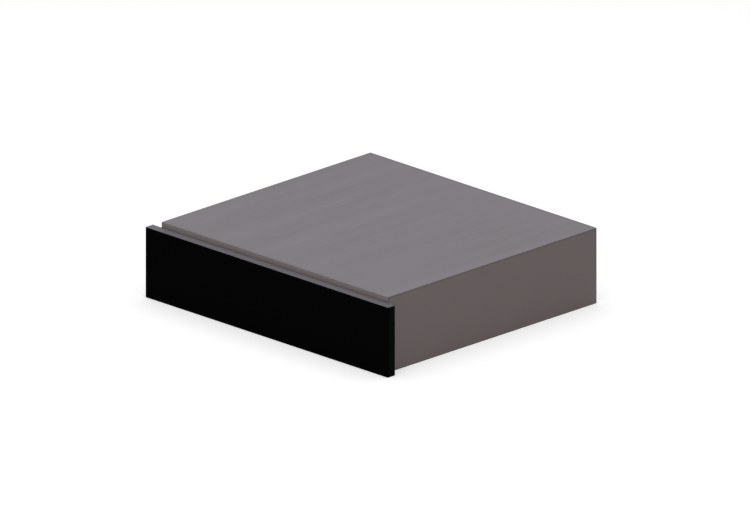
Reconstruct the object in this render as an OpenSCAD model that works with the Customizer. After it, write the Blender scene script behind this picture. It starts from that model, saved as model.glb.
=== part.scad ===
// Warming drawer for a 14 cm niche, with a handleless glass front and a fan that warms the tub.
// Origin under the middle of the overall outline. The front faces -Y, +X is to the right, +Z is up.

/* [Casing] */
// Width of the sheet casing
case_w = 556; // [540:1:560]
// Depth of the sheet casing, without the screw heads
case_d = 513.5; // [500:0.5:530]
// Height of the casing
case_h = 139; // [136:1:160]
// Thickness of the casing's sheet
sheet_t = 1; // [0.8:0.1:1.2]
// Outer radius of a folded edge
bend_r = 1.5; // [1.3:0.1:2]
// Height of the top cover's front edge
front_lip_h = 14; // [12:1:16]
// Height of the top cover's rear edge
rear_lip_h = 13; // [11:1:16]
// Width of the side panels' turned edges
flange_w = 12; // [10:1:12]
// Height of the base pan's front edge
base_lip_h = 6; // [4:0.5:7]
// Height of the base pan's side and rear edges
base_edge_h = 12; // [10:1:16]
// Height of a pressed bead in the base pan
bead_h = 3; // [2:0.5:4]
// Width of a pressed bead
bead_w = 16; // [12:1:24]
// Length of a pressed bead
bead_l = 380; // [300:10:420]
// Distance between the pressed beads
bead_pitch = 130; // [100:5:150]
// Diameter of the holes that screw the base to its shelf
fixing_d = 4.5; // [4:0.1:6]
// Distance between those holes
fixing_pitch = 480; // [440:10:500]
// Distance of those holes behind the casing's front
fixing_inset = 24; // [18:1:40]

/* [Front] */
// Width of the front
front_w = 595; // [590:1:600]
// Height of the front
front_h = 129.5; // [124:0.5:130]
// Depth of the front
front_t = 18; // [16:1:22]
// Height of the front's lower edge above the shelf
front_lift = 0.5; // [0.5:0.5:4]
// Gap between the front and the casing
shadow_gap = 2; // [1.5:0.5:4]
// Thickness of the glass
glass_t = 4; // [3:0.5:5]
// Thickness of the edge profiles
profile_t = 1.2; // [1:0.1:2]
// Width of the profiles' glued leg behind the glass
profile_leg = 10; // [6:1:14]
// Thickness of the top trim's lip over the glass
trim_lip_t = 0.4; // [0.3:0.1:1]
// Ground edge of the glass
edge_ease = 0.4; // [0.2:0.1:1]
// Diameter of a rubber buffer
buffer_d = 8; // [6:0.5:10]
// Clearance between a buffer and the closed front
buffer_gap = 0.3; // [0.2:0.1:0.5]

/* [Ball slides] */
// Height of the slides' centre line
slide_z = 60; // [56:1:64]
// Length of the slide members
slide_l = 450; // [420:10:450]
// Distance of the slides behind the casing's front
slide_inset = 3.5; // [3:0.5:8]
// Thickness of a slide, with its three members nested
slide_t = 12.7; // [12.7:0.1:13]
// Thickness of the members' steel
rail_t = 1.2; // [1:0.05:1.25]
// Diameter of a ball
ball_d = 4; // [3.8:0.1:4]
// Clearance round a ball in its grooves
ball_gap = 0.05; // [0.03:0.01:0.08]
// Depth of a rolled groove
groove_d = 0.4; // [0.3:0.05:0.5]
// Height of the outer balls from the slide's centre
outer_ball_v = 19.25; // [18.5:0.25:20]
// Distance of the outer balls from the casing's wall
outer_ball_u = 4.6; // [4.6:0.1:4.8]
// Distance of the inner balls from the casing's wall
inner_ball_u = 8; // [7.9:0.1:8.2]
// Balls in one row
row_balls = 8; // [4:1:9]
// Distance between balls
ball_pitch = 18; // [12:1:18]
// Length of a ball cage
cage_l = 150; // [140:5:160]
// Thickness of a ball cage's web
cage_t = 0.5; // [0.4:0.1:0.6]
// Thickness of a ball cage's leg
cage_leg_t = 0.8; // [0.6:0.1:1]
// Clearance between a cage and the members beside it
cage_gap = 0.25; // [0.15:0.05:0.3]
// Distance of the closed cages behind the slides' front end
cage_inset = 114; // [90:2:120]
// Travel of the drawer, which the stops on the members end
drawer_travel = 350; // [300:10:350]
// Height of a stop across a member's web
stop_w = 16; // [8:1:20]
// Length of a pressed stop along a member
stop_l = 3; // [2:0.5:4]
// Height that a pressed stop stands up from its web
stop_h = 0.5; // [0.3:0.1:0.5]

/* [Drawer] */
// Height of the tray's underside
tray_z = 9; // [8:0.5:10]
// Height of the tray's upper edge
tray_top = 110; // [104:1:112]
// Distance of the drawer's rear wall behind the front's rear face
tray_l = 460.5; // [450:0.5:462]
// Width of the tray sides' upper turned edges
tray_flange = 7; // [6:0.5:10]
// Width of the tray sides' lower turned edges
tray_foot = 12; // [10:1:20]
// Depth of the box behind the front that holds the controls
control_depth = 45.2; // [44:0.2:50]
// Height of the control box's upper edge
control_top = 113; // [112:0.5:114]
// Thickness of the control fascia
fascia_t = 2; // [1.5:0.5:2.5]
// Thickness of the drawer liner
liner_t = 0.8; // [0.6:0.1:1]
// Width of the liner's rim
liner_rim = 8; // [7:0.5:10]
// Radius of the liner's upright corners
liner_corner_r = 16; // [12:1:24]
// Radius between the liner's floor and walls
liner_floor_r = 8; // [5:1:10]
// Inside length of the liner, front to back
liner_l = 325; // [300:5:326]
// Thickness of the anti-slip mat
mat_t = 1.5; // [1:0.1:2.5]
// Side of one square of the mat's pattern
mat_pitch = 24; // [16:1:40]
// Width of the grooves between the squares
mat_groove_w = 3; // [1:0.5:5]
// Depth of those grooves
mat_groove_d = 0.6; // [0.3:0.1:1]

/* [Warm air] */
// Width of the air grille's plate
grille_w = 316; // [280:4:340]
// Height of the air grille's plate
grille_h = 62; // [54:1:66]
// Height of the grille's lower edge
grille_z = 26; // [24:1:32]
// Slots in the air grille
grille_slots = 28; // [12:1:30]
// Width of one slot
slot_w = 5; // [3:0.5:6]
// Diameter of the fan's drum
fan_d = 40; // [34:1:42]
// Length of the fan's drum
fan_l = 220; // [180:5:230]
// Blades round the drum
fan_blades = 24; // [16:1:30]
// Depth of one blade
blade_depth = 5.5; // [4:0.5:6]
// Thickness of one blade
blade_t = 0.7; // [0.6:0.1:1]
// Height of the fan's axis
fan_z = 58; // [54:1:62]
// Distance of the fan's axis in front of the drawer's rear wall
fan_inset = 26; // [25:1:28]
// Diameter of the fan's shaft
shaft_d = 6; // [5:0.5:7]
// Diameter of the heating element's tube
element_d = 6.5; // [6:0.5:8]
// Height between the element's two runs
element_pitch = 26; // [22:1:30]
// Length of the element's runs
element_l = 270; // [240:10:300]

/* [Controls] */
// Distance of the temperature knob from the centre
knob_x = 150; // [130:5:200]
// Diameter of the temperature knob
knob_d = 34; // [28:1:36]
// Height of the temperature knob
knob_h = 7.8; // [6:0.2:8]
// Grip flutes round the knob
knob_flutes = 18; // [12:1:24]
// Turn of the knob from its lowest setting to its highest
dial_turn = 270; // [180:10:300]
// Marks along that turn
dial_marks = 11; // [5:1:15]
// Diameter of the knob's spindle
spindle_d = 6; // [5:0.5:6]
// Distance of the rocker switch from the centre
rocker_x = 90; // [70:5:100]
// Width of the rocker
rocker_w = 17; // [14:0.5:18]
// Length of the rocker
rocker_l = 24.8; // [22:0.2:26]
// Angle of the rocker to either side
rocker_tilt = 8; // [5:1:9]
// Distance of the pilot lamp from the centre
lamp_x = 118; // [114:1:122]
// Diameter of the pilot lamp
lamp_d = 6; // [5:0.5:8]

/* [Rear] */
// Diameter of the screws' shanks
screw_d = 3.5; // [3:0.1:4]
// Diameter of the screws' heads
screw_head_d = 6.8; // [6:0.2:8]
// Height of the screws' heads
screw_head_h = 1.5; // [1.2:0.1:2]
// Width of the pocket for the supply lead
pocket_w = 62; // [50:1:70]
// Height of the pocket
pocket_h = 52; // [44:1:60]
// Depth of the pocket
pocket_d = 22; // [18:1:24]
// Distance of the pocket's middle from the centre
pocket_x = 215; // [200:1:220]
// Bore of the cable gland
gland_bore_d = 8.4; // [7:0.1:9]
// Diameter of the latch plunger
plunger_d = 10; // [8:0.5:11]
// Height of the push latch
latch_z = 40; // [34:1:50]

/* [Hidden] */
$fn = 48;

// Small overlap that lets a cut break cleanly through a face
cut = 1;
// Overlap that fuses two shapes into one solid
fuse = 0.01;
// Gap between two sheets' edges
seam = 0.2;
// Clearance of a turning shaft in its bore, and of a shank in its hole
running_gap = 0.1;

overall_d = front_t + shadow_gap + case_d + screw_head_h;
front_y = -overall_d / 2;
front_back_y = front_y + front_t;
case_front_y = front_back_y + shadow_gap;
case_back_y = case_front_y + case_d;
rear_inner_y = case_back_y - sheet_t;
front_top_z = front_lift + front_h;
wall_x = case_w / 2 - sheet_t;

slide_y = case_front_y + slide_inset;
race_r = ball_d / 2 + ball_gap;
race_v = race_r - groove_d;
inner_ball_v = outer_ball_v - 2 * race_v - rail_t;
outer_cage_u = rail_t + cage_gap;
middle_u = outer_cage_u + cage_t + cage_gap;
inner_cage_u = middle_u + rail_t + cage_gap;
groove_split_u = (outer_ball_u + inner_ball_u) / 2;
outer_flange_u = inner_ball_u - 1;
middle_flange_u = slide_t - 2;
inner_flange_u = inner_ball_u - 3;
slide_notch_h = 2 * (outer_ball_v + race_v + rail_t + 4);

// A cage rolls past each of its two members by a quarter of the drawer's travel
cage_y = slide_y + cage_inset;
cage_shift = drawer_travel / 4;
stop_gap = 0.5;
front_stop_y = cage_y - cage_shift - stop_gap - stop_l;
rear_stop_y = cage_y + cage_l + cage_shift + stop_gap;
inner_screw_ys = [slide_y + 25, slide_y + slide_l / 2, slide_y + slide_l - 25];

tray_x = wall_x - slide_t;
tray_back_y = front_back_y + tray_l;
control_back_y = front_back_y + control_depth;
floor_z = tray_z + 2 * sheet_t;
liner_half_w = tray_x - liner_rim - liner_t / 2;
liner_front_y = control_back_y + liner_rim + liner_t;
liner_back_y = liner_front_y + liner_l;
heater_front_y = liner_back_y + liner_t;
heater_x = tray_x - tray_flange;

fan_y = tray_back_y - fan_inset;
scroll_r = fan_d / 2 + 3;
scroll_front_y = fan_y - fan_d / 2 - 1;
fan_end_x = fan_l / 2 + 4;
element_y = heater_front_y + 17;

control_y = (front_back_y + control_back_y) / 2;
fascia_z = control_top + fascia_t;
rocker_z = control_top + 0.5;

pocket_z = 50;
pocket_floor_y = case_back_y - pocket_d;
screw_side_x = case_w / 2 - flange_w / 2;
screw_hole_d = screw_d + running_gap;
hole_l = 4 * sheet_t;
lip_screw_z = case_h - rear_lip_h / 2;
striker_y = tray_back_y + 1.5;
striker_gap = 0.3;
latch_front_y = rear_inner_y - 34;

// ---- shared shapes ----

// Two legs of folded sheet with their outer corner at the origin, along +X and +Y
module folded_corner(leg_x, leg_y, t, r) {
    translate([r, 0]) square([leg_x - r, t]);
    translate([0, r]) square([t, leg_y - r]);
    translate([r, r]) intersection() {
        difference() {
            circle(r);
            circle(r - t);
        }
        translate([-r, -r]) square(r);
    }
}

// Extrudes a section drawn as (y, z) along X
module along_x(x, length) {
    translate([x, 0, 0]) rotate([90, 0, 90]) linear_extrude(length) children();
}

// Extrudes a section drawn as (x, z) along Y
module along_y(y, length) {
    translate([0, y + length, 0]) rotate([90, 0, 0]) linear_extrude(length) children();
}

// Box between two opposite corners
module block(low, high) {
    translate(low) cube(high - low);
}

// Slot with round ends, drawn flat about its middle
module slot_shape(length, width) {
    square([width, length - width], center = true);
    for (end = [-1, 1]) translate([0, end * (length - width) / 2]) circle(d = width);
}

// Rectangle with round corners, about its middle
module round_rect(w, d, r) {
    square([w, d - 2 * r], center = true);
    square([w - 2 * r, d], center = true);
    for (x = [-1, 1], y = [-1, 1]) translate([x * (w / 2 - r), y * (d / 2 - r)]) circle(r);
}

// Hole through a wall across Y, with its middle at x, y, z
module hole_y(x, y, z, d, length) {
    translate([x, y, z]) rotate([90, 0, 0]) cylinder(h = length, d = d, center = true);
}

// Hole through a wall across X, with its middle at x, y, z
module hole_x(x, y, z, d, length) {
    translate([x, y, z]) rotate([0, 90, 0]) cylinder(h = length, d = d, center = true);
}

// Pan-head screw along -Y with its head's underside at the origin
module screw_y(shank_l) {
    crown_d = screw_head_d - 1.6;
    slot_l = 4;
    slot_w = 0.8;
    slot_depth = 0.8;
    rotate([90, 0, 0]) {
        cylinder(h = shank_l, d = screw_d);
        difference() {
            translate([0, 0, -screw_head_h]) cylinder(h = screw_head_h, d1 = crown_d, d2 = screw_head_d);
            for (turn = [0, 90]) {
                rotate([0, 0, turn]) translate([-slot_l / 2, -slot_w / 2, -screw_head_h - cut])
                    cube([slot_l, slot_w, cut + slot_depth]);
            }
        }
    }
}

// ---- casing ----

lip_screw_xs = [-180, 0, 180];
side_screw_zs = [16, 70, 118];
base_screw_xs = [-120, 120];
casing_screw_l = 9;

module top_cover() {
    color("#827c82") difference() {
        along_x(-case_w / 2, case_w) {
            translate([case_front_y, case_h]) mirror([0, 1])
                folded_corner(case_d - sheet_t - bend_r, front_lip_h, sheet_t, bend_r);
            translate([rear_inner_y, case_h]) mirror([1, 0]) mirror([0, 1])
                folded_corner(4 * bend_r, rear_lip_h, sheet_t, bend_r);
        }
        for (x = lip_screw_xs) hole_y(x, rear_inner_y, lip_screw_z, screw_hole_d, hole_l);
    }
}

// Plan of a side panel: the wall with its front and rear edges turned in
module side_plan() {
    depth = case_d - sheet_t;
    translate([case_w / 2, case_front_y]) mirror([1, 0])
        folded_corner(flange_w, depth / 2, sheet_t, bend_r);
    translate([case_w / 2, rear_inner_y]) mirror([1, 0]) mirror([0, 1])
        folded_corner(flange_w, depth / 2 + cut, sheet_t, bend_r);
}

// Outline of a side panel seen from the front, with its folded upper edge
module side_outline() {
    top_z = case_h - sheet_t;
    translate([case_w / 2 - flange_w, 0]) square([flange_w, top_z - bend_r]);
    translate([case_w / 2 - flange_w, 0]) square([flange_w - bend_r, top_z]);
    translate([case_w / 2 - bend_r, top_z - bend_r]) circle(bend_r);
}

module side_panel() {
    top_z = case_h - sheet_t;
    notch_z = slide_z - slide_notch_h / 2;
    color("#625a5a") difference() {
        intersection() {
            union() {
                linear_extrude(top_z) side_plan();
                block([case_w / 2 - flange_w, case_front_y + sheet_t, top_z - sheet_t],
                      [case_w / 2, rear_inner_y - sheet_t, top_z]);
            }
            along_y(case_front_y - cut, case_d + 2 * cut) side_outline();
        }
        // room for the top cover's front and rear edges
        block([0, case_front_y - cut, case_h - front_lip_h - seam], [case_w, case_front_y + bend_r, case_h]);
        block([0, rear_inner_y - bend_r, case_h - rear_lip_h - seam], [case_w, case_back_y, case_h]);
        // way out for the slide
        block([0, case_front_y - cut, notch_z], [wall_x, case_front_y + bend_r, notch_z + slide_notch_h]);
        for (z = side_screw_zs) hole_y(screw_side_x, rear_inner_y, z, screw_hole_d, hole_l);
    }
}

module right_side_panel() { side_panel(); }
module left_side_panel() { mirror([1, 0, 0]) side_panel(); }

// Section of a pressed bead across its length, drawn as (x, z)
module bead_section(inset) {
    half = bead_w / 2 - inset;
    polygon([[-half, inset - fuse], [-half + bead_h, bead_h + inset], [half - bead_h, bead_h + inset],
             [half, inset - fuse]]);
}

module base_pan() {
    front = case_front_y + bend_r;
    back = rear_inner_y - bend_r;
    edge_x = case_w / 2 - flange_w - seam;
    bead_xs = [for (i = [-1.5:1:1.5]) i * bead_pitch];
    color("#8f8f92") difference() {
        union() {
            block([-wall_x, front, 0], [wall_x, back, sheet_t]);
            block([-wall_x, front, 0], [wall_x, front + sheet_t, base_lip_h]);
            block([-edge_x, back - sheet_t, 0], [edge_x, rear_inner_y, sheet_t]);
            block([-edge_x, rear_inner_y - sheet_t, 0], [edge_x, rear_inner_y, base_edge_h]);
            for (side = [-1, 1]) {
                block([side > 0 ? wall_x - sheet_t : -wall_x, front, 0],
                      [side > 0 ? wall_x : -wall_x + sheet_t, back, base_edge_h]);
            }
            for (x = bead_xs) along_y(-bead_l / 2, bead_l) translate([x, 0]) bead_section(sheet_t);
        }
        for (x = bead_xs) {
            along_y(-bead_l / 2 + sheet_t, bead_l - 2 * sheet_t) translate([x, -sheet_t])
                bead_section(sheet_t);
        }
        for (x = [-1, 1]) {
            translate([x * fixing_pitch / 2, case_front_y + fixing_inset, -cut])
                cylinder(h = sheet_t + 2 * cut, d = fixing_d);
        }
        for (x = base_screw_xs) hole_y(x, rear_inner_y, base_edge_h / 2, screw_hole_d, hole_l);
    }
}

vent_pitch = 9;
vent_rows = 13;
vent_l = 36;
vent_w = 4;
vent_xs = [-95, 60, 190];
vent_z = 62;

// One field of upright air slots in the rear panel
module vent_field(x, z) {
    for (i = [0:vent_rows - 1]) {
        translate([x + (i - (vent_rows - 1) / 2) * vent_pitch, case_back_y, z]) rotate([90, 0, 0])
            linear_extrude(hole_l, center = true) slot_shape(vent_l, vent_w);
    }
}

module rear_panel() {
    pocket_low = [-pocket_x - pocket_w / 2, pocket_floor_y, pocket_z - pocket_h / 2];
    pocket_high = [-pocket_x + pocket_w / 2, rear_inner_y, pocket_z + pocket_h / 2];
    skin = [sheet_t, sheet_t, sheet_t];
    color("#8a8a8e") difference() {
        union() {
            block([-case_w / 2, rear_inner_y, 0], [case_w / 2, case_back_y, case_h]);
            block(pocket_low - skin, pocket_high + [sheet_t, sheet_t / 2, sheet_t]);
        }
        block(pocket_low, pocket_high + [0, 2 * sheet_t, 0]);
        hole_y(-pocket_x, pocket_floor_y, pocket_z, gland_thread_d + running_gap, hole_l);
        for (x = vent_xs) vent_field(x, vent_z);
        for (x = lip_screw_xs) hole_y(x, case_back_y, lip_screw_z, screw_hole_d, hole_l);
        for (x = base_screw_xs) hole_y(x, case_back_y, base_edge_h / 2, screw_hole_d, hole_l);
        for (x = [-1, 1], z = side_screw_zs) {
            hole_y(x * screw_side_x, case_back_y, z, screw_hole_d, hole_l);
        }
    }
}

module casing_screws() {
    color("#b5b5b8") {
        for (x = lip_screw_xs) translate([x, case_back_y, lip_screw_z]) screw_y(casing_screw_l);
        for (x = base_screw_xs) translate([x, case_back_y, base_edge_h / 2]) screw_y(casing_screw_l);
        for (x = [-1, 1], z = side_screw_zs) {
            translate([x * screw_side_x, case_back_y, z]) screw_y(casing_screw_l);
        }
    }
}

buffer_zs = [20, 112];

module front_buffers() {
    h = shadow_gap - buffer_gap;
    r = buffer_d / 2;
    e = 0.6;
    color("#1c1c1c") for (x = [-1, 1], z = buffer_zs) {
        translate([x * screw_side_x, case_front_y, z]) rotate([90, 0, 0]) rotate_extrude()
            polygon([[0, 0], [r, 0], [r, h - e], [r - e, h], [0, h]]);
    }
}

gland_thread_d = 16;
gland_cap_d = 18;
gland_hex_d = 24;
gland_out_l = 17;
gland_in_l = 8;

// Gland with its hexagon and cap outside the pocket and its nut inside
module cable_gland() {
    inner_face_y = pocket_floor_y - sheet_t;
    hex_t = 6;
    nut_t = 5;
    nose_l = 3;
    color("#252527") translate([-pocket_x, 0, pocket_z]) difference() {
        union() {
            translate([0, pocket_floor_y, 0]) rotate([-90, 0, 0]) {
                cylinder(h = hex_t, d = gland_hex_d, $fn = 6);
                cylinder(h = gland_out_l - nose_l, d = gland_cap_d);
                translate([0, 0, gland_out_l - nose_l])
                    cylinder(h = nose_l, d1 = gland_cap_d, d2 = gland_bore_d + nose_l);
            }
            translate([0, inner_face_y - gland_in_l, 0]) rotate([-90, 0, 0]) {
                cylinder(h = gland_in_l + sheet_t, d = gland_thread_d);
                translate([0, 0, gland_in_l - nut_t]) cylinder(h = nut_t, d = gland_hex_d, $fn = 6);
            }
        }
        translate([0, inner_face_y - gland_in_l - cut, 0]) rotate([-90, 0, 0])
            cylinder(h = gland_in_l + sheet_t + gland_out_l + 2 * cut, d = gland_bore_d);
    }
}

terminal_x = -150;
terminal_w = 48;
terminal_d = 18;
terminal_h = 20;
terminal_y = rear_inner_y - 38;
wire_z = 6;
wire_d = 6;

// Three ways side by side, each with a well for its screw and a tunnel for its wires
module terminal_block() {
    way = terminal_w / 3;
    well_d = 8;
    well_h = 8;
    slit_w = 2;
    slit_z = 12;
    color("#e6e2d6") translate([terminal_x, terminal_y, sheet_t]) difference() {
        translate([-terminal_w / 2, -terminal_d / 2, 0]) cube([terminal_w, terminal_d, terminal_h]);
        for (i = [-1:1]) {
            translate([i * way, 0, terminal_h - well_h]) cylinder(h = well_h + cut, d = well_d);
            hole_y(i * way, 0, wire_z, wire_d, terminal_d + 2 * cut);
        }
        for (i = [-0.5, 0.5]) {
            translate([i * way - slit_w / 2, -terminal_d / 2 - cut, slit_z])
                cube([slit_w, terminal_d + 2 * cut, terminal_h]);
        }
    }
}

cover_gap = 0.4;
cover_t = 1.5;

module terminal_cover() {
    w = terminal_w + 2 * (cover_gap + cover_t);
    d = terminal_d + 2 * (cover_gap + cover_t);
    h = terminal_h + cover_gap + cover_t;
    lead_d = 8;
    color("#303033") translate([terminal_x, terminal_y, sheet_t]) difference() {
        linear_extrude(h) round_rect(w, d, 2 * cover_t);
        translate([0, 0, -cut]) linear_extrude(h - cover_t + cut)
            round_rect(w - 2 * cover_t, d - 2 * cover_t, cover_gap);
        for (side = [-1, 1]) hole_y(side * terminal_w / 4, -side * d / 2, wire_z, lead_d, 4 * cover_t);
    }
}

// ---- push latch ----

latch_w = 28;
latch_h = 24;
latch_wall = 3;
collar_t = 2;
collar_d = plunger_d + 3;
latch_bore_d = collar_d + 6 * running_gap;
plunger_tip_y = striker_y + striker_gap;
collar_y = latch_front_y + latch_wall + 1;
spring_end_y = rear_inner_y - latch_wall;

module latch_housing() {
    ear_w = 12;
    ear_h = 16;
    well_front_y = latch_front_y + latch_wall;
    color("#3a3a3d") difference() {
        union() {
            block([-latch_w / 2, latch_front_y, latch_z - latch_h / 2],
                  [latch_w / 2, rear_inner_y, latch_z + latch_h / 2]);
            // ears that screw to the rear panel
            block([-latch_w / 2 - ear_w, rear_inner_y - latch_wall, latch_z - ear_h / 2],
                  [latch_w / 2 + ear_w, rear_inner_y, latch_z + ear_h / 2]);
        }
        hole_y(0, (well_front_y + spring_end_y) / 2, latch_z, latch_bore_d, spring_end_y - well_front_y);
        hole_y(0, latch_front_y, latch_z, plunger_d + 2 * running_gap, 4 * latch_wall);
        for (x = [-1, 1]) {
            hole_y(x * (latch_w + ear_w) / 2, rear_inner_y, latch_z, screw_hole_d, 4 * latch_wall);
        }
    }
}

module latch_plunger() {
    nose_r = 2;
    color("#c9c9cc") translate([0, plunger_tip_y, latch_z]) rotate([-90, 0, 0]) {
        length = collar_y - plunger_tip_y;
        rotate_extrude() {
            translate([0, nose_r]) square([plunger_d / 2, length - nose_r]);
            square([plunger_d / 2 - nose_r, nose_r + fuse]);
            translate([plunger_d / 2 - nose_r, nose_r]) circle(nose_r);
            translate([0, length]) square([collar_d / 2, collar_t]);
        }
    }
}

spring_turns = 6;
spring_wire_d = 1;
spring_steps = 16;
spring_sides = 6;
spring_gap = 0.3;

// One unbroken coil of wire, as rings joined side by side
module latch_spring() {
    r = plunger_d / 2 + spring_gap;
    y0 = collar_y + collar_t + spring_wire_d / 2 + spring_gap;
    y1 = spring_end_y - spring_wire_d / 2 - spring_gap;
    rings = spring_turns * spring_steps;
    points = [
        for (i = [0:rings], k = [0:spring_sides - 1])
            let (turn = 360 * i / spring_steps, side = 360 * k / spring_sides,
                 reach = r + spring_wire_d / 2 * cos(side))
            [reach * cos(turn), y0 + (y1 - y0) * i / rings + spring_wire_d / 2 * sin(side), reach * sin(turn)]
    ];
    sides = [
        for (i = [0:rings - 1], k = [0:spring_sides - 1])
            let (a = i * spring_sides + k, b = i * spring_sides + (k + 1) % spring_sides)
            each [[a, b, b + spring_sides], [a, b + spring_sides, a + spring_sides]]
    ];
    start = [for (k = [1:spring_sides - 2]) [0, k + 1, k]];
    last = rings * spring_sides;
    finish = [for (k = [1:spring_sides - 2]) [last, last + k, last + k + 1]];
    color("#a9a9ad") translate([0, 0, latch_z]) polyhedron(points, concat(start, sides, finish));
}

// ---- ball slides, drawn as (u, v): u from the casing's wall inwards, v up from the slide's centre ----

// Flange above a row of balls, with its rolled groove
module flange_above(u0, u1, ball_u, ball_v) {
    face_v = ball_v + race_v;
    difference() {
        union() {
            translate([u0, face_v]) square([u1 - u0, rail_t]);
            intersection() {
                translate([ball_u, ball_v]) circle(race_r + rail_t);
                translate([u0, face_v]) square([u1 - u0, race_r + rail_t]);
            }
        }
        translate([ball_u, ball_v]) circle(race_r);
    }
}

// Flange below a row of balls, with its rolled groove
module flange_below(u0, u1, ball_u, ball_v) {
    translate([0, 2 * ball_v]) mirror([0, 1]) flange_above(u0, u1, ball_u, ball_v);
}

module above_and_below() {
    children();
    mirror([0, 1]) children();
}

module outer_section() {
    half = outer_ball_v + race_v + rail_t;
    translate([0, -half]) square([rail_t, 2 * half]);
    above_and_below() flange_above(0, outer_flange_u, outer_ball_u, outer_ball_v);
}

module middle_section() {
    half = outer_ball_v - race_v;
    translate([middle_u, -half]) square([rail_t, 2 * half]);
    above_and_below() {
        flange_below(middle_u, groove_split_u, outer_ball_u, outer_ball_v);
        flange_above(groove_split_u, middle_flange_u, inner_ball_u, inner_ball_v);
    }
}

module inner_section() {
    half = inner_ball_v - race_v;
    translate([slide_t - rail_t, -half]) square([rail_t, 2 * half]);
    above_and_below() flange_below(inner_flange_u, slide_t, inner_ball_u, inner_ball_v);
}

// Puts a section in the right-hand slide
module in_slide(y, length) {
    along_y(y, length) translate([wall_x, slide_z]) mirror([1, 0]) children();
}

web_hole_d = 5;
web_slot_l = 14;

// Round and long holes through a member's web, at distances from its front end
module web_holes(rounds, longs, d = web_hole_d) {
    translate([wall_x, slide_y, slide_z]) rotate([0, -90, 0]) {
        for (y = rounds) translate([0, y, -cut]) cylinder(h = slide_t + 2 * cut, d = d);
        for (y = longs) {
            translate([0, y, -cut]) linear_extrude(slide_t + 2 * cut) slot_shape(web_slot_l, web_hole_d);
        }
    }
}

// Stop across a web: it stands between u0 and u1 and starts at y
module slide_stop(u0, u1, y, length) {
    block([wall_x - u1, y, slide_z - stop_w / 2], [wall_x - u0, y + length, slide_z + stop_w / 2]);
}

// Its front stop catches the outer cage of the open drawer, and its rear tab stops the other members
module outer_rail() {
    closing_gap = 1;
    tab_y = slide_y + slide_l + closing_gap;
    color("#b9bcc0") {
        difference() {
            in_slide(slide_y, slide_l + closing_gap + rail_t) outer_section();
            web_holes([35, slide_l / 2, slide_l - 35], [70, slide_l - 80]);
        }
        slide_stop(rail_t - fuse, rail_t + stop_h, front_stop_y, stop_l);
        slide_stop(rail_t - fuse, slide_t - rail_t, tab_y, rail_t);
    }
}

// Its rear stop catches the outer cage, and its front stop the inner one
module middle_rail() {
    color("#b0b3b7") {
        difference() {
            in_slide(slide_y, slide_l) middle_section();
            web_holes([12, slide_l - 20], [slide_l / 3, slide_l * 2 / 3]);
        }
        slide_stop(middle_u - stop_h, middle_u + fuse, rear_stop_y, stop_l);
        slide_stop(middle_u + rail_t - fuse, middle_u + rail_t + stop_h, front_stop_y, stop_l);
    }
}

// Its bent tab catches the inner cage
module inner_rail() {
    color("#c2c5c9") {
        difference() {
            in_slide(slide_y, slide_l) inner_section();
            web_holes([for (y = inner_screw_ys) y - slide_y], [60, slide_l - 70], screw_hole_d);
        }
        slide_stop(inner_cage_u + cage_t / 2, slide_t - rail_t + fuse, rear_stop_y, rail_t);
    }
}

ball_ys = [
    for (i = [0:row_balls - 1]) cage_y + cage_l / 2 + (i - (row_balls - 1) / 2) * ball_pitch
];

// A cage: web and two legs, with a pocket for each ball
module ball_cage(web_u, ball_u, ball_v) {
    half = ball_v + cage_leg_t / 2;
    leg_u = ball_u + ball_d / 2 + cage_leg_t;
    color("#8d9196") difference() {
        in_slide(cage_y, cage_l) difference() {
            translate([web_u, -half]) square([leg_u - web_u, 2 * half]);
            translate([web_u + cage_t, -half + cage_leg_t]) square([leg_u, 2 * (half - cage_leg_t)]);
        }
        for (y = ball_ys, side = [-1, 1]) {
            translate([wall_x - ball_u, y, slide_z + side * ball_v])
                cylinder(h = 3 * cage_leg_t, d = ball_d + 2 * running_gap, center = true);
        }
    }
}

module ball_set(ball_u, ball_v) {
    color("#d9dbde") for (y = ball_ys, side = [-1, 1]) {
        translate([wall_x - ball_u, y, slide_z + side * ball_v]) sphere(d = ball_d);
    }
}

module outer_cage() { ball_cage(outer_cage_u, outer_ball_u, outer_ball_v); }
module inner_cage() { ball_cage(inner_cage_u, inner_ball_u, inner_ball_v); }
module outer_balls() { ball_set(outer_ball_u, outer_ball_v); }
module inner_balls() { ball_set(inner_ball_u, inner_ball_v); }

module right_outer_rail() { outer_rail(); }
module right_middle_rail() { middle_rail(); }
module right_inner_rail() { inner_rail(); }
module right_outer_cage() { outer_cage(); }
module right_inner_cage() { inner_cage(); }
module right_outer_balls() { outer_balls(); }
module right_inner_balls() { inner_balls(); }
module left_outer_rail() { mirror([1, 0, 0]) outer_rail(); }
module left_middle_rail() { mirror([1, 0, 0]) middle_rail(); }
module left_inner_rail() { mirror([1, 0, 0]) inner_rail(); }
module left_outer_cage() { mirror([1, 0, 0]) outer_cage(); }
module left_inner_cage() { mirror([1, 0, 0]) inner_cage(); }
module left_outer_balls() { mirror([1, 0, 0]) outer_balls(); }
module left_inner_balls() { mirror([1, 0, 0]) inner_balls(); }

// ---- front ----

glass_back_y = front_y + glass_t;
glass_top_z = front_top_z - trim_lip_t;
leg_back_y = glass_back_y + 1;
trim_z = front_top_z - profile_t;

module front_glass() {
    e = edge_ease;
    color("#050404") along_x(-front_w / 2, front_w) polygon([
        [front_y + e, front_lift], [glass_back_y, front_lift], [glass_back_y, glass_top_z],
        [front_y, glass_top_z], [front_y, front_lift + e]
    ]);
}

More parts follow.
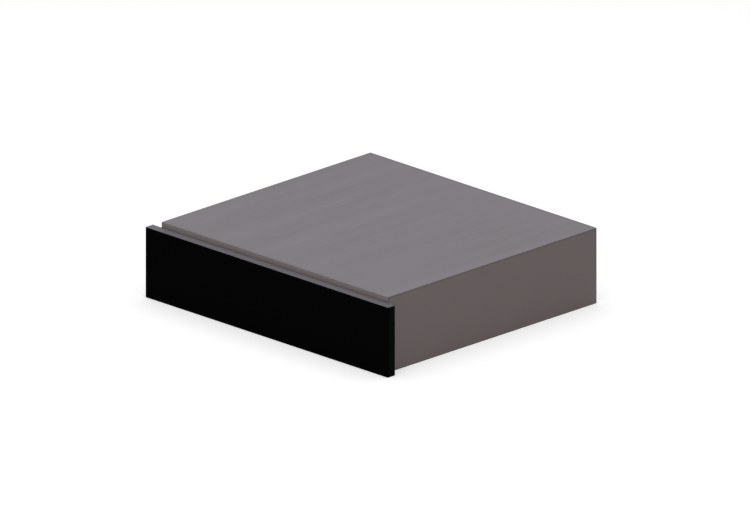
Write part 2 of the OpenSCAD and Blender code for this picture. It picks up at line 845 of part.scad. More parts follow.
// Strip over the front's upper edge: a thin lip covers the glass, and a leg is glued behind it
module top_trim() {
    e = trim_lip_t / 2;
    leg_half = front_w / 2 - profile_leg;
    color("#68666e") {
        along_x(-front_w / 2, front_w) polygon([
            [front_y, glass_top_z], [glass_back_y, glass_top_z], [glass_back_y, trim_z],
            [front_back_y, trim_z], [front_back_y, front_top_z - e], [front_back_y - e, front_top_z],
            [front_y + e, front_top_z], [front_y, front_top_z - e]
        ]);
        block([-leg_half, glass_back_y, trim_z - profile_leg], [leg_half, leg_back_y, trim_z + fuse]);
    }
}

module side_profile() {
    x = front_w / 2;
    color("#0b0a0a") linear_extrude(trim_z - front_lift) {
        translate([x - profile_t, glass_back_y]) square([profile_t, front_back_y - glass_back_y]);
        translate([x - profile_leg, glass_back_y]) square([profile_leg, leg_back_y - glass_back_y]);
    }
}

module right_side_profile() { translate([0, 0, front_lift]) side_profile(); }
module left_side_profile() { mirror([1, 0, 0]) translate([0, 0, front_lift]) side_profile(); }

module bottom_profile() {
    half = front_w / 2 - profile_t;
    leg_half = front_w / 2 - profile_leg;
    color("#0b0a0a") {
        block([-half, leg_back_y, front_lift], [half, front_back_y, front_lift + profile_t]);
        block([-leg_half, glass_back_y, front_lift], [leg_half, leg_back_y, front_lift + profile_leg]);
    }
}

carrier_screw_xs = [-240, -80, 80, 240];
carrier_screw_zs = [30, 92];

// Shallow folded tray behind the glass, closed at the back
module panel_carrier() {
    x = front_w / 2 - profile_t;
    low_z = front_lift + profile_t;
    color("#4a4a4d") difference() {
        block([-x, leg_back_y, low_z], [x, front_back_y, trim_z]);
        block([-x + sheet_t, leg_back_y - cut, low_z + sheet_t],
              [x - sheet_t, front_back_y - sheet_t, trim_z - sheet_t]);
        for (sx = carrier_screw_xs, z = carrier_screw_zs) {
            hole_y(sx, front_back_y, z, screw_hole_d, hole_l);
        }
    }
}

// ---- box with the controls ----

module front_box() {
    edge_x = 8;
    edge_y = 5;
    color("#9a9a9e") difference() {
        block([-tray_x, front_back_y, tray_z], [tray_x, control_back_y, control_top]);
        block([-tray_x + sheet_t, front_back_y + sheet_t, tray_z + sheet_t],
              [tray_x - sheet_t, control_back_y - sheet_t, control_top - sheet_t]);
        // open top inside the turned edges
        block([-tray_x + edge_x, front_back_y + edge_y, control_top - 2 * sheet_t],
              [tray_x - edge_x, control_back_y - edge_y, control_top + cut]);
        for (sx = carrier_screw_xs, z = carrier_screw_zs) {
            hole_y(sx, front_back_y, z, screw_hole_d, hole_l);
        }
        for (side = [-1, 1]) hole_x(side * tray_x, inner_screw_ys[0], slide_z, screw_hole_d, hole_l);
    }
}

board_z = 100;
board_w = 120;
board_d = 28;
board_t = 1.6;
boss_d = 6;
bushing_d = 10;
mark_w = 0.7;
mark_l = 2.6;
mark_depth = 0.3;

// Marks cut into the fascia round the knob, evenly along its turn, with the gap towards the user
module dial_scale() {
    for (i = [0:dial_marks - 1]) {
        rotate(dial_turn * (0.5 - i / (dial_marks - 1)))
            translate([-mark_w / 2, knob_d / 2 + 2 * mark_w, -mark_depth])
                cube([mark_w, mark_l, mark_depth + cut]);
    }
}

// Fascia with its openings, and the bosses that carry the board
module control_fascia() {
    through = fascia_t + 2 * cut;
    boss_z = board_z + board_t;
    color("#b8babd") difference() {
        union() {
            block([-tray_x, front_back_y, control_top], [tray_x, control_back_y, fascia_z]);
            for (x = [-1, 1], y = [-1, 1]) {
                translate([x * (board_w / 2 - boss_d), control_y + y * (board_d / 2 - boss_d), boss_z])
                    cylinder(h = control_top - boss_z + fuse, d = boss_d);
            }
        }
        translate([0, control_y, control_top - cut]) {
            translate([knob_x, 0]) cylinder(h = through, d = bushing_d + 2 * running_gap);
            translate([lamp_x, 0]) cylinder(h = through, d = lamp_d + 2 * running_gap);
            translate([rocker_x, 0]) linear_extrude(through)
                square([switch_w + 2 * seam, switch_l + 2 * seam], center = true);
        }
        translate([knob_x, control_y, fascia_z]) dial_scale();
    }
}

// Board with its relay and two capacitors underneath
module control_board() {
    relay = [22, 16, 14];
    relay_x = -45;
    capacitor_d = 10;
    capacitor_h = 12;
    capacitor_xs = [10, 26];
    color("#1f5c3a") {
        translate([-board_w / 2, control_y - board_d / 2, board_z]) cube([board_w, board_d, board_t]);
        translate([relay_x, control_y - relay.y / 2, board_z - relay.z]) cube(relay + [0, 0, fuse]);
        for (x = capacitor_xs) {
            translate([x, control_y, board_z - capacitor_h])
                cylinder(h = capacitor_h + fuse, d = capacitor_d);
        }
    }
}

selector_w = 28;
selector_h = 18;
selector_floor = 3;
tag_w = 2;
tag_t = 0.8;

// Body of the temperature selector, with its bushing in the fascia and its solder tags below
module selector_body() {
    tag_l = 6;
    tag_pitch = 8;
    color("#2c2c2f") translate([knob_x, control_y, control_top]) difference() {
        union() {
            translate([-selector_w / 2, -selector_w / 2, -selector_h])
                cube([selector_w, selector_w, selector_h]);
            cylinder(h = fascia_t, d = bushing_d);
            for (i = [-1:1]) {
                translate([i * tag_pitch - tag_w / 2, -selector_w / 2 + selector_floor, -selector_h - tag_l])
                    cube([tag_w, tag_t, tag_l + fuse]);
            }
        }
        translate([0, 0, -selector_h + selector_floor])
            cylinder(h = selector_h + fascia_t, d = spindle_d + 2 * running_gap);
    }
}

knob_z = fascia_z + 0.4;
knob_crown_t = 2;
knob_skirt_h = 2;
spindle_top_z = knob_z + knob_h - knob_crown_t;
fit_gap = 0.05;

module selector_spindle() {
    low_z = control_top - selector_h + selector_floor + 3 * running_gap;
    color("#c9c9cc") translate([knob_x, control_y, low_z]) cylinder(h = spindle_top_z - low_z, d = spindle_d);
}

// Knob with a skirt, a fluted grip and a pointer groove, which starts at the scale's first mark
module selector_knob() {
    flute_d = 3.2;
    grip_d = knob_d - 6;
    ease = 0.8;
    groove_w = 1.2;
    groove_depth = 0.5;
    color("#c4c5c8") translate([knob_x, control_y, knob_z]) difference() {
        union() {
            cylinder(h = knob_skirt_h, d = knob_d);
            translate([0, 0, knob_skirt_h]) cylinder(h = knob_h - knob_skirt_h - ease, d = grip_d);
            translate([0, 0, knob_h - ease]) cylinder(h = ease, d1 = grip_d, d2 = grip_d - 2 * ease);
        }
        translate([0, 0, -cut]) cylinder(h = knob_h - knob_crown_t + cut, d = spindle_d + 2 * fit_gap);
        for (i = [0:knob_flutes - 1]) {
            rotate(360 * i / knob_flutes) translate([(grip_d + ease) / 2, 0, knob_skirt_h])
                cylinder(h = knob_h, d = flute_d);
        }
        rotate(dial_turn / 2) translate([-groove_w / 2, grip_d / 4, knob_h - groove_depth])
            cube([groove_w, grip_d / 2, groove_depth + cut]);
    }
}

switch_w = 22;
switch_l = 30;
switch_rim = 2;
switch_rim_t = 1.5;
rocker_gap = 0.3;
rocker_pin_d = 3;
rocker_pin_l = 1.3;
rocker_bay_l = rocker_l + 1.6;
rocker_bay_depth = 10;
switch_depth = 14;

// Switch body with a rim on the fascia, a bay for the rocker, sockets for its pins and three tags
module switch_housing() {
    tag_l = 10;
    tag_pitch = 8;
    spade_w = 4.8;
    color("#1b1b1d") translate([rocker_x, control_y, control_top]) difference() {
        union() {
            translate([0, 0, fascia_t]) linear_extrude(switch_rim_t)
                round_rect(switch_w + 2 * switch_rim, switch_l + 2 * switch_rim, switch_rim);
            translate([0, 0, -switch_depth]) linear_extrude(switch_depth + fascia_t + fuse)
                square([switch_w, switch_l], center = true);
            for (i = [-1:1]) {
                translate([-spade_w / 2, i * tag_pitch - tag_t / 2, -switch_depth - tag_l])
                    cube([spade_w, tag_t, tag_l + fuse]);
            }
        }
        translate([0, 0, -rocker_bay_depth]) linear_extrude(2 * switch_depth)
            square([rocker_w + 2 * rocker_gap, rocker_bay_l], center = true);
        hole_x(0, 0, rocker_z - control_top, rocker_pin_d + 2 * running_gap,
               rocker_w + 2 * (rocker_pin_l + rocker_gap));
    }
}

// Rocker with a hollow back between its two raised ends, and a pin at each side
module switch_rocker() {
    end = rocker_l / 2;
    end_z = 3.2;
    middle_z = 1.8;
    heel = 2;
    toe_z = -3;
    foot = 3;
    foot_z = -7;
    color("#232325") translate([rocker_x, control_y, rocker_z]) rotate([rocker_tilt, 0, 0]) {
        along_x(-rocker_w / 2, rocker_w) polygon([
            [-end, end_z], [0, middle_z], [end, end_z], [end - heel, toe_z], [foot, foot_z], [-foot, foot_z],
            [-end + heel, toe_z]
        ]);
        rotate([0, 90, 0]) cylinder(h = rocker_w + 2 * rocker_pin_l, d = rocker_pin_d, center = true);
    }
}

// Lamp with a flange and a low domed lens
module pilot_lamp() {
    body_l = 8;
    flange_t = 0.8;
    flange_r = lamp_d / 2 + 1;
    dome_r = lamp_d / 2 + 0.4;
    dome_drop = 2;
    color("#c8641e") translate([lamp_x, control_y, fascia_z]) rotate_extrude() {
        translate([0, -fascia_t - body_l]) square([lamp_d / 2, body_l + fascia_t + fuse]);
        square([flange_r, flange_t]);
        intersection() {
            translate([0, flange_t - dome_drop]) circle(r = dome_r);
            translate([0, flange_t - fuse]) square(lamp_d);
        }
    }
}

// ---- tray and liner ----

// Flat base with slots that lighten it
module tray_base() {
    slot_l = 60;
    slot_wide = 8;
    color("#9a9a9e") difference() {
        block([-tray_x + bend_r, control_back_y, tray_z + sheet_t], [tray_x - bend_r, tray_back_y, floor_z]);
        for (x = [-180, -60, 60, 180], y = [-150, -50, 50]) {
            translate([x, y, tray_z]) linear_extrude(floor_z) slot_shape(slot_l, slot_wide);
        }
    }
}

// Folded side: its lower edge carries the base, its upper edge the liner's rim, and it screws to the slide
module tray_side() {
    half_h = (tray_top - tray_z) / 2 + cut;
    color("#9fa0a4") difference() {
        along_y(control_back_y, tray_back_y - control_back_y) {
            translate([tray_x, tray_z]) mirror([1, 0]) folded_corner(tray_foot, half_h, sheet_t, bend_r);
            translate([tray_x, tray_top]) mirror([1, 0]) mirror([0, 1])
                folded_corner(tray_flange, half_h, sheet_t, bend_r);
        }
        for (i = [1, 2]) hole_x(tray_x, inner_screw_ys[i], slide_z, screw_hole_d, hole_l);
    }
}

module right_tray_side() { tray_side(); }
module left_tray_side() { mirror([1, 0, 0]) tray_side(); }

// Tub with upright corners of radius r and a rounded floor, from its floor up to top_z
module tub_solid(half_w, y0, y1, low_z, top_z, r, floor_r) {
    depth = y1 - y0;
    straight_x = half_w - r;
    straight_y = depth / 2 - r;
    translate([0, (y0 + y1) / 2, low_z]) {
        translate([0, 0, floor_r]) linear_extrude(top_z - low_z - floor_r) round_rect(2 * half_w, depth, r);
        linear_extrude(floor_r) round_rect(2 * (half_w - floor_r), depth - 2 * floor_r, r - floor_r);
        for (side = [-1, 1]) {
            translate([-straight_x, side * (depth / 2 - floor_r), floor_r]) rotate([0, 90, 0])
                linear_extrude(2 * straight_x) floor_round(floor_r, side);
            translate([side * (half_w - floor_r), straight_y, floor_r]) rotate([90, 0, 0])
                linear_extrude(2 * straight_y) mirror([side > 0 ? 0 : 1, 0]) rotate(-90)
                    floor_round(floor_r, 1);
        }
        for (i = [0:3]) {
            translate([(i == 0 || i == 3 ? 1 : -1) * straight_x, (i < 2 ? 1 : -1) * straight_y, floor_r])
                rotate([0, 0, 90 * i]) rotate_extrude(angle = 90) translate([r - floor_r, 0]) rotate(-90)
                    floor_round(floor_r, 1);
        }
    }
}

// Quarter of a circle between +X and +Y, or -Y where side is -1
module floor_round(r, side) {
    intersection() {
        circle(r);
        translate([0, side > 0 ? 0 : -r]) square(r);
    }
}

window_margin = 8;

// Deep-drawn tub with a flat rim that lies on the tray's edges, and a window for the air at the rear
module tub_liner() {
    rim_z = tray_top + liner_t;
    rim_front_y = control_back_y + seam;
    rim_back_y = heater_front_y + liner_rim;
    rim_corner_r = 3;
    color("#b4b4b6") difference() {
        union() {
            tub_solid(liner_half_w + liner_t, liner_front_y - liner_t, heater_front_y, floor_z, rim_z,
                      liner_corner_r + liner_t, liner_floor_r + liner_t);
            translate([0, (rim_front_y + rim_back_y) / 2, tray_top]) linear_extrude(liner_t)
                round_rect(2 * tray_x, rim_back_y - rim_front_y, rim_corner_r);
        }
        tub_solid(liner_half_w, liner_front_y, liner_back_y, floor_z + liner_t, rim_z + cut,
                  liner_corner_r, liner_floor_r);
        block([-grille_w / 2 + window_margin, liner_back_y - cut, grille_z + window_margin],
              [grille_w / 2 - window_margin, heater_front_y + cut, grille_z + grille_h - window_margin]);
    }
}

// Silicone mat on the tub's floor, with grooves that part its face into squares
module anti_slip_mat() {
    inset = liner_floor_r + 1;
    w = 2 * (liner_half_w - inset);
    d = liner_l - 2 * inset;
    mid_y = (liner_front_y + liner_back_y) / 2;
    columns = floor(w / mat_pitch);
    rows = floor(d / mat_pitch);
    color("#38383b") translate([0, mid_y, floor_z + liner_t]) difference() {
        linear_extrude(mat_t) round_rect(w, d, liner_corner_r - liner_floor_r);
        translate([0, 0, mat_t - mat_groove_d]) linear_extrude(mat_groove_d + cut) {
            for (i = [0:columns]) {
                translate([(i - columns / 2) * mat_pitch, 0]) square([mat_groove_w, d + cut], center = true);
            }
            for (i = [0:rows]) {
                translate([0, (i - rows / 2) * mat_pitch]) square([w + cut, mat_groove_w], center = true);
            }
        }
    }
}

// Plate over the tub's window, with a row of upright slots
module rear_grille() {
    grille_t = 1;
    corner_r = 4;
    field_w = grille_w - 2 * window_margin - 2;
    slot_l = grille_h - 2 * window_margin - 2;
    pitch = field_w / grille_slots;
    color("#a8a8ab") translate([0, liner_back_y, grille_z + grille_h / 2]) rotate([90, 0, 0])
        linear_extrude(grille_t) difference() {
            round_rect(grille_w, grille_h, corner_r);
            for (i = [0:grille_slots - 1]) {
                translate([(i - (grille_slots - 1) / 2) * pitch, 0]) slot_shape(slot_l, slot_w);
            }
        }
}

// ---- warm air unit ----

module heater_box() {
    color("#96979a") difference() {
        block([-heater_x, heater_front_y, floor_z], [heater_x, tray_back_y, tray_top - sheet_t]);
        block([-heater_x + sheet_t, heater_front_y - cut, floor_z + sheet_t],
              [heater_x - sheet_t, tray_back_y - sheet_t, tray_top]);
    }
}

module heater_lid() {
    louvre_l = 40;
    louvre_w = 4;
    louvre_back = 45;
    louvre_xs = [-200, -120, 120, 200];
    color("#96979a") difference() {
        block([-heater_x, heater_front_y, tray_top - sheet_t], [heater_x, tray_back_y, tray_top]);
        for (x = louvre_xs) {
            translate([x, heater_front_y + louvre_back, tray_top]) rotate([0, 0, 90])
                linear_extrude(hole_l, center = true) slot_shape(louvre_l, louvre_w);
        }
    }
}

// Tube bent into a hairpin, with a cold pin at each end
module heating_element() {
    r = element_pitch / 2;
    pin_l = 12;
    pin_d = 4;
    color("#5f6164") translate([0, element_y, fan_z]) {
        for (side = [-1, 1]) {
            translate([-element_l / 2, 0, side * r]) rotate([0, 90, 0])
                cylinder(h = element_l, d = element_d);
            translate([element_l / 2, 0, side * r]) rotate([0, 90, 0]) cylinder(h = pin_l, d = pin_d);
        }
        translate([-element_l / 2, 0, 0]) rotate([90, 0, 0]) rotate([0, 0, 90])
            rotate_extrude(angle = 180) translate([r, 0]) circle(d = element_d);
    }
}

// Two angle brackets that the element's runs pass through
module element_brackets() {
    half_d = 8;
    foot_l = 10;
    bend_inset = 6;
    pin_inset = 12;
    low_z = floor_z + sheet_t;
    top = fan_z + element_pitch / 2 + half_d;
    color("#a4a5a8") for (x = [-element_l / 2 + bend_inset, element_l / 2 - pin_inset]) difference() {
        union() {
            block([x, element_y - half_d, low_z], [x + sheet_t, element_y + half_d, top]);
            block([x, element_y - half_d, low_z], [x + foot_l, element_y + half_d, low_z + sheet_t]);
        }
        for (side = [-1, 1]) {
            hole_x(x, element_y, fan_z + side * element_pitch / 2, element_d + 2 * running_gap, hole_l);
        }
    }
}

plate_front_y = scroll_front_y - 12;
scroll_bush_d = 12;

// Section of the scroll, drawn as (y, z): the casing round the drum, open towards the grille
module scroll_section() {
    translate([fan_y, fan_z]) difference() {
        circle(scroll_r + sheet_t);
        circle(scroll_r);
        translate([-2 * scroll_r, -scroll_r / 2]) square([scroll_r * 1.6, 2 * scroll_r]);
    }
    translate([plate_front_y, fan_z - scroll_r - sheet_t]) square([fan_y - plate_front_y, sheet_t]);
}

// Scroll with an end plate at each side, on a foot that is folded outwards
module fan_scroll() {
    plate_back = tray_back_y - sheet_t;
    plate_x = fan_end_x + sheet_t;
    plate_top_z = fan_z + scroll_r + 4;
    foot_x = plate_x + 10;
    low_z = floor_z + sheet_t;
    color("#a0a1a4") {
        along_x(-fan_end_x - fuse, 2 * (fan_end_x + fuse)) scroll_section();
        for (side = [0, 1]) mirror([side, 0, 0]) difference() {
            union() {
                block([fan_end_x, plate_front_y, low_z], [plate_x, plate_back, plate_top_z]);
                block([fan_end_x, scroll_front_y, low_z], [foot_x, plate_back, low_z + sheet_t]);
            }
            hole_x(plate_x, fan_y, fan_z, scroll_bush_d, hole_l);
        }
    }
}

// Drum of curved-in blades between four discs
module fan_rotor() {
    r = fan_d / 2;
    disc_t = 1;
    discs = 4;
    blade_angle = 32;
    blade_r = r - blade_depth / 2 - blade_t;
    color("#bfc1c4") translate([0, fan_y, fan_z]) rotate([0, 90, 0]) difference() {
        union() {
            translate([0, 0, -fan_l / 2]) linear_extrude(fan_l) for (i = [0:fan_blades - 1]) {
                rotate(360 * i / fan_blades) translate([blade_r, 0]) rotate(blade_angle)
                    square([blade_depth, blade_t], center = true);
            }
            for (i = [0:discs - 1]) {
                translate([0, 0, -fan_l / 2 + i * (fan_l - disc_t) / (discs - 1)])
                    cylinder(h = disc_t, r = r);
            }
        }
        cylinder(h = fan_l + 2 * cut, d = shaft_d + 2 * fit_gap, center = true);
    }
}

motor_x = fan_end_x + sheet_t;
motor_l = 32;
shaft_bore_d = shaft_d + 2 * running_gap;

module fan_shaft() {
    overhang = 8;
    x0 = -fan_end_x - overhang;
    x1 = motor_x + motor_l + overhang;
    color("#c9cacc") translate([x0, fan_y, fan_z]) rotate([0, 90, 0]) cylinder(h = x1 - x0, d = shaft_d);
}

// Rubber bush in the scroll's left end plate, with a collar outside it
module fan_bush() {
    bush_l = 6;
    collar_wide_d = scroll_bush_d + 4;
    color("#222224") translate([-fan_end_x - sheet_t / 2, fan_y, fan_z]) rotate([0, 90, 0]) difference() {
        union() {
            cylinder(h = bush_l, d = scroll_bush_d - 2 * fit_gap, center = true);
            translate([0, 0, -bush_l / 2]) cylinder(h = (bush_l - sheet_t) / 2, d = collar_wide_d);
        }
        cylinder(h = bush_l + 2 * cut, d = shaft_bore_d, center = true);
    }
}

// Shaded-pole motor: a laminated stack on end bridges with bearings, and a coil on its lower limb
module fan_motor() {
    stack = [16, 44, 48];
    stack_x = (motor_l - stack.x) / 2;
    bridge = [3, 38, 12];
    bearing_d = 15;
    rivet_d = 4;
    coil_w = 34;
    coil_h = 16;
    coil_z = -stack.z / 2 - coil_h / 2 + 2;
    color("#6b6d70") translate([motor_x, fan_y, fan_z]) difference() {
        union() {
            translate([stack_x, -stack.y / 2, -stack.z / 2]) cube(stack);
            for (x = [stack_x - bridge.x, stack_x + stack.x]) {
                translate([x, -bridge.y / 2, -bridge.z / 2]) cube(bridge);
            }
            for (y = [-1, 1], z = [-1, 1]) {
                translate([stack_x - bridge.x / 2, y * (stack.y / 2 - rivet_d), z * (stack.z / 2 - rivet_d)])
                    rotate([0, 90, 0]) cylinder(h = stack.x + bridge.x, d = rivet_d);
            }
            rotate([0, 90, 0]) cylinder(h = motor_l, d = bearing_d);
            along_y(-coil_w / 2, coil_w) translate([motor_l / 2, coil_z]) round_rect(stack.x + 8, coil_h, 4);
        }
        translate([-cut, 0, 0]) rotate([0, 90, 0]) cylinder(h = motor_l + 2 * cut, d = shaft_bore_d);
    }
}

// Disc thermostat on a fixing plate, with two tags
module thermal_cutout() {
    back = tray_back_y - sheet_t;
    x = -170;
    z = 70;
    disc_d = 16;
    disc_t = 8;
    plate = [30, 1, 8];
    tag = [0.8, 8, 6];
    tag_half_pitch = 4;
    color("#3b3633") {
        translate([x, back - disc_t, z]) rotate([-90, 0, 0]) cylinder(h = disc_t, d = disc_d);
        translate([x - plate.x / 2, back - plate.y, z - plate.z / 2]) cube(plate);
        for (side = [-1, 1]) {
            translate([x + side * tag_half_pitch - tag.x / 2, back - disc_t - tag.y, z - tag.z / 2])
                cube(tag + [0, fuse, 0]);
        }
    }
}

module latch_striker() {
    half = 14;
    half_h = 12;
    color("#b7b8bb") block([-half, tray_back_y, latch_z - half_h], [half, striker_y, latch_z + half_h]);
}

// Screws of the front, driven from inside the control box, and of the slides, driven from inside the tray
module drawer_screws() {
    front_screw_l = 8;
    slide_screw_l = 4.5;
    color("#b5b5b8") {
        for (x = carrier_screw_xs, z = carrier_screw_zs) {
            translate([x, front_back_y + sheet_t, z]) screw_y(front_screw_l);
        }
        for (side = [0, 1], y = inner_screw_ys) {
            mirror([side, 0, 0]) translate([tray_x - sheet_t, y, slide_z]) rotate([0, 0, 90])
                screw_y(slide_screw_l);
        }
    }
}

top_cover();
left_side_panel();
right_side_panel();
base_pan();
rear_panel();
casing_screws();
front_buffers();
cable_gland();
terminal_block();
terminal_cover();
latch_housing();
latch_plunger();
latch_spring();
left_outer_rail();
right_outer_rail();
left_middle_rail();
right_middle_rail();
left_inner_rail();
right_inner_rail();
left_outer_cage();
right_outer_cage();
left_inner_cage();
right_inner_cage();
left_outer_balls();
right_outer_balls();
left_inner_balls();
right_inner_balls();
front_glass();
top_trim();
left_side_profile();
right_side_profile();
bottom_profile();
panel_carrier();
front_box();
control_fascia();
control_board();
selector_body();
selector_spindle();
selector_knob();
switch_housing();
switch_rocker();
pilot_lamp();
tray_base();
left_tray_side();
right_tray_side();
tub_liner();
anti_slip_mat();
rear_grille();
heater_box();
heater_lid();
heating_element();
element_brackets();
fan_scroll();
fan_rotor();
fan_shaft();
fan_bush();
fan_motor();
thermal_cutout();
latch_striker();
drawer_screws();
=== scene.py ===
import math

import bmesh
import bpy
from mathutils import Matrix, Vector


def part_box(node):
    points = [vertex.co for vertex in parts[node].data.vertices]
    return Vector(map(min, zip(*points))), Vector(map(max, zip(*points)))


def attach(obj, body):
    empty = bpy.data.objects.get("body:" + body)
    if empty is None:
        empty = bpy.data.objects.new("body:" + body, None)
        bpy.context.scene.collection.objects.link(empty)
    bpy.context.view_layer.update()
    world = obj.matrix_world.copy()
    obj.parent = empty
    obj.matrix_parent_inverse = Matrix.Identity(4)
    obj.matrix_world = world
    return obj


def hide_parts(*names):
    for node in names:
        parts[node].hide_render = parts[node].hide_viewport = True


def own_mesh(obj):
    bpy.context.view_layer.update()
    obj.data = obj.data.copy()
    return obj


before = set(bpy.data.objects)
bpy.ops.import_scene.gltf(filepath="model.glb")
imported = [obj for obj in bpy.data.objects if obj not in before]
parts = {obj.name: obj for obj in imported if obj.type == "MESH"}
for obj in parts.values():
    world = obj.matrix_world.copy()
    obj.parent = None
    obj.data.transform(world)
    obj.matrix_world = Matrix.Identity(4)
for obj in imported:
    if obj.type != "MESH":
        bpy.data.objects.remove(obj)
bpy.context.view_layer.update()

# ---- Camera ----
# The photograph is a parallel view from the front right, 19.47 degrees above the horizon, where an edge along
# X or Y falls one pixel in three. The front, 595 mm wide, sets its scale.
def add_object(name, data):
    """A new object in the scene, at the origin."""
    piece = bpy.data.objects.new(name, data)
    bpy.context.scene.collection.objects.link(piece)
    return piece


photo_width_px = 750
px_per_metre = 575.19
azimuth = math.radians(45)
elevation = math.asin(1 / 3)
camera_distance = 3.0
to_camera = Vector((math.sin(azimuth) * math.cos(elevation),
                    -math.cos(azimuth) * math.cos(elevation),
                    math.sin(elevation)))
picture_right = Vector((math.cos(azimuth), math.sin(azimuth), 0))
picture_up = to_camera.cross(picture_right)
# Pixels from the photograph's middle to the part's origin
origin_right_px, origin_down_px = 0.4, 38.0
picture_middle = (picture_up * origin_down_px - picture_right * origin_right_px) / px_per_metre

camera_data = bpy.data.cameras.new("photo_camera")
camera_data.type = "ORTHO"
camera_data.ortho_scale = photo_width_px / px_per_metre
camera_data.clip_start = 0.05
camera_data.clip_end = 30
camera = add_object("photo_camera", camera_data)
camera.location = picture_middle + to_camera * camera_distance
camera.rotation_mode = "QUATERNION"
camera.rotation_quaternion = (-to_camera).to_track_quat("-Z", "Y")
bpy.context.scene.camera = camera
bpy.context.scene.view_settings.view_transform = "Standard"


# ---- Studio ----
# A pale floor under a soft, even light from above. What the camera and the reflections see beyond the floor
# is plain white, and the floor lifts to white round the part's own soft shadow.
def node_with(tree, kind, inputs, output=0, **settings):
    """An output of a new node. Each input is a plain value, or the socket that feeds it."""
    node = tree.nodes.new(kind)
    for label, value in settings.items():
        setattr(node, label, value)
    for label, value in inputs.items():
        if isinstance(value, bpy.types.NodeSocket):
            tree.links.new(value, node.inputs[label])
        else:
            node.inputs[label].default_value = value
    return node.outputs[output]


def math_node(tree, operation, a, b, clamp=False):
    """A sum, product or other operation on two values or sockets."""
    return node_with(tree, "ShaderNodeMath", {0: a, 1: b}, operation=operation, use_clamp=clamp)


def seen_directly(tree):
    """A mask that is 1 for camera, glossy and transmission rays."""
    rays = node_with(tree, "ShaderNodeLightPath", {}).node.outputs
    camera_or_glossy = math_node(tree, "MAXIMUM", rays["Is Camera Ray"], rays["Is Glossy Ray"])
    return math_node(tree, "MAXIMUM", camera_or_glossy, rays["Is Transmission Ray"])


def new_material(name):
    """An empty material, its tree and the socket for its surface."""
    material = bpy.data.materials.new(name)
    material.use_nodes = True
    tree = material.node_tree
    tree.nodes.clear()
    return material, tree, tree.nodes.new("ShaderNodeOutputMaterial").inputs["Surface"]


white, world_strength, backdrop_strength = (1, 1, 1, 1), 0.52, 1.0
world = bpy.data.worlds.new("studio_world")
world.use_nodes = True
sky = world.node_tree
sky.nodes.clear()
lighting = node_with(sky, "ShaderNodeBackground", {"Color": white, "Strength": world_strength})
backdrop = node_with(sky, "ShaderNodeBackground", {"Color": white, "Strength": backdrop_strength})
seen_sky = node_with(sky, "ShaderNodeMixShader", {"Fac": seen_directly(sky), 1: lighting, 2: backdrop})
sky.links.new(seen_sky, sky.nodes.new("ShaderNodeOutputWorld").inputs["Surface"])
bpy.context.scene.world = world

floor_half, floor_tone, floor_lift = 1.75, 0.7, 0.45
floor_mesh = bpy.data.meshes.new("studio_floor")
floor_corners = [(x * floor_half, y * floor_half, 0) for x, y in ((-1, -1), (1, -1), (1, 1), (-1, 1))]
floor_mesh.from_pydata(floor_corners, [], [(0, 1, 2, 3)])
floor = add_object("studio_floor", floor_mesh)
floor_material, tree, surface = new_material("pale_floor")
matte = node_with(tree, "ShaderNodeBsdfDiffuse", {"Color": (floor_tone, floor_tone, floor_tone, 1)})
lift = node_with(tree, "ShaderNodeEmission",
                 {"Color": white, "Strength": math_node(tree, "MULTIPLY", seen_directly(tree), floor_lift)})
tree.links.new(node_with(tree, "ShaderNodeAddShader", {0: matte, 1: lift}), surface)
floor_mesh.materials.append(floor_material)


def soft_lamp(name, place, target, size, watts):
    """A square lamp that shines softly at a point."""
    data = bpy.data.lights.new(name, "AREA")
    data.shape = "SQUARE"
    data.size = size
    data.energy = watts
    lamp = add_object(name, data)
    lamp.location = place
    lamp.rotation_mode = "QUATERNION"
    lamp.rotation_quaternion = (Vector(target) - Vector(place)).to_track_quat("-Z", "Y")
    lamp.visible_glossy = False
    lamp.visible_camera = False


soft_lamp("overhead_lamp", (0, 0, 2.6), target=(0, 0, 0), size=3.0, watts=34)
soft_lamp("front_lamp", (0.6, -2.6, 1.5), target=(0, 0, 0.05), size=1.8, watts=10)


# ---- Top cover ----
# Brushed steel sheet, 1 mm thick, folded down at the front and rear. The brushing runs from front to back and
# shows as fine streaks. Its upright folds are painted lighter, as painted light on the front fold, and its
# edges are painted darker, a painted shade line.
def add_inputs(tree, defaults):
    """Named inputs, each of the type of its default."""
    kinds = {int: "NodeSocketInt", float: "NodeSocketFloat", tuple: "NodeSocketVector"}
    for label, default in defaults.items():
        socket = tree.interface.new_socket(label, in_out="INPUT", socket_type=kinds[type(default)])
        socket.default_value = default


def named_group(name, defaults, masks):
    """An empty shader group with its named inputs and the masks that it gives."""
    group = bpy.data.node_groups.new(name, "ShaderNodeTree")
    add_inputs(group, defaults)
    for label in masks:
        group.interface.new_socket(label, in_out="OUTPUT", socket_type="NodeSocketFloat")
    return group, group.nodes.new("NodeGroupInput").outputs, group.nodes.new("NodeGroupOutput").inputs


def noise(tree, place, scale, detail, roughness=0.5):
    """Soft random values over space."""
    return node_with(tree, "ShaderNodeTexNoise",
                     {"Vector": place, "Scale": scale, "Detail": detail, "Roughness": roughness})


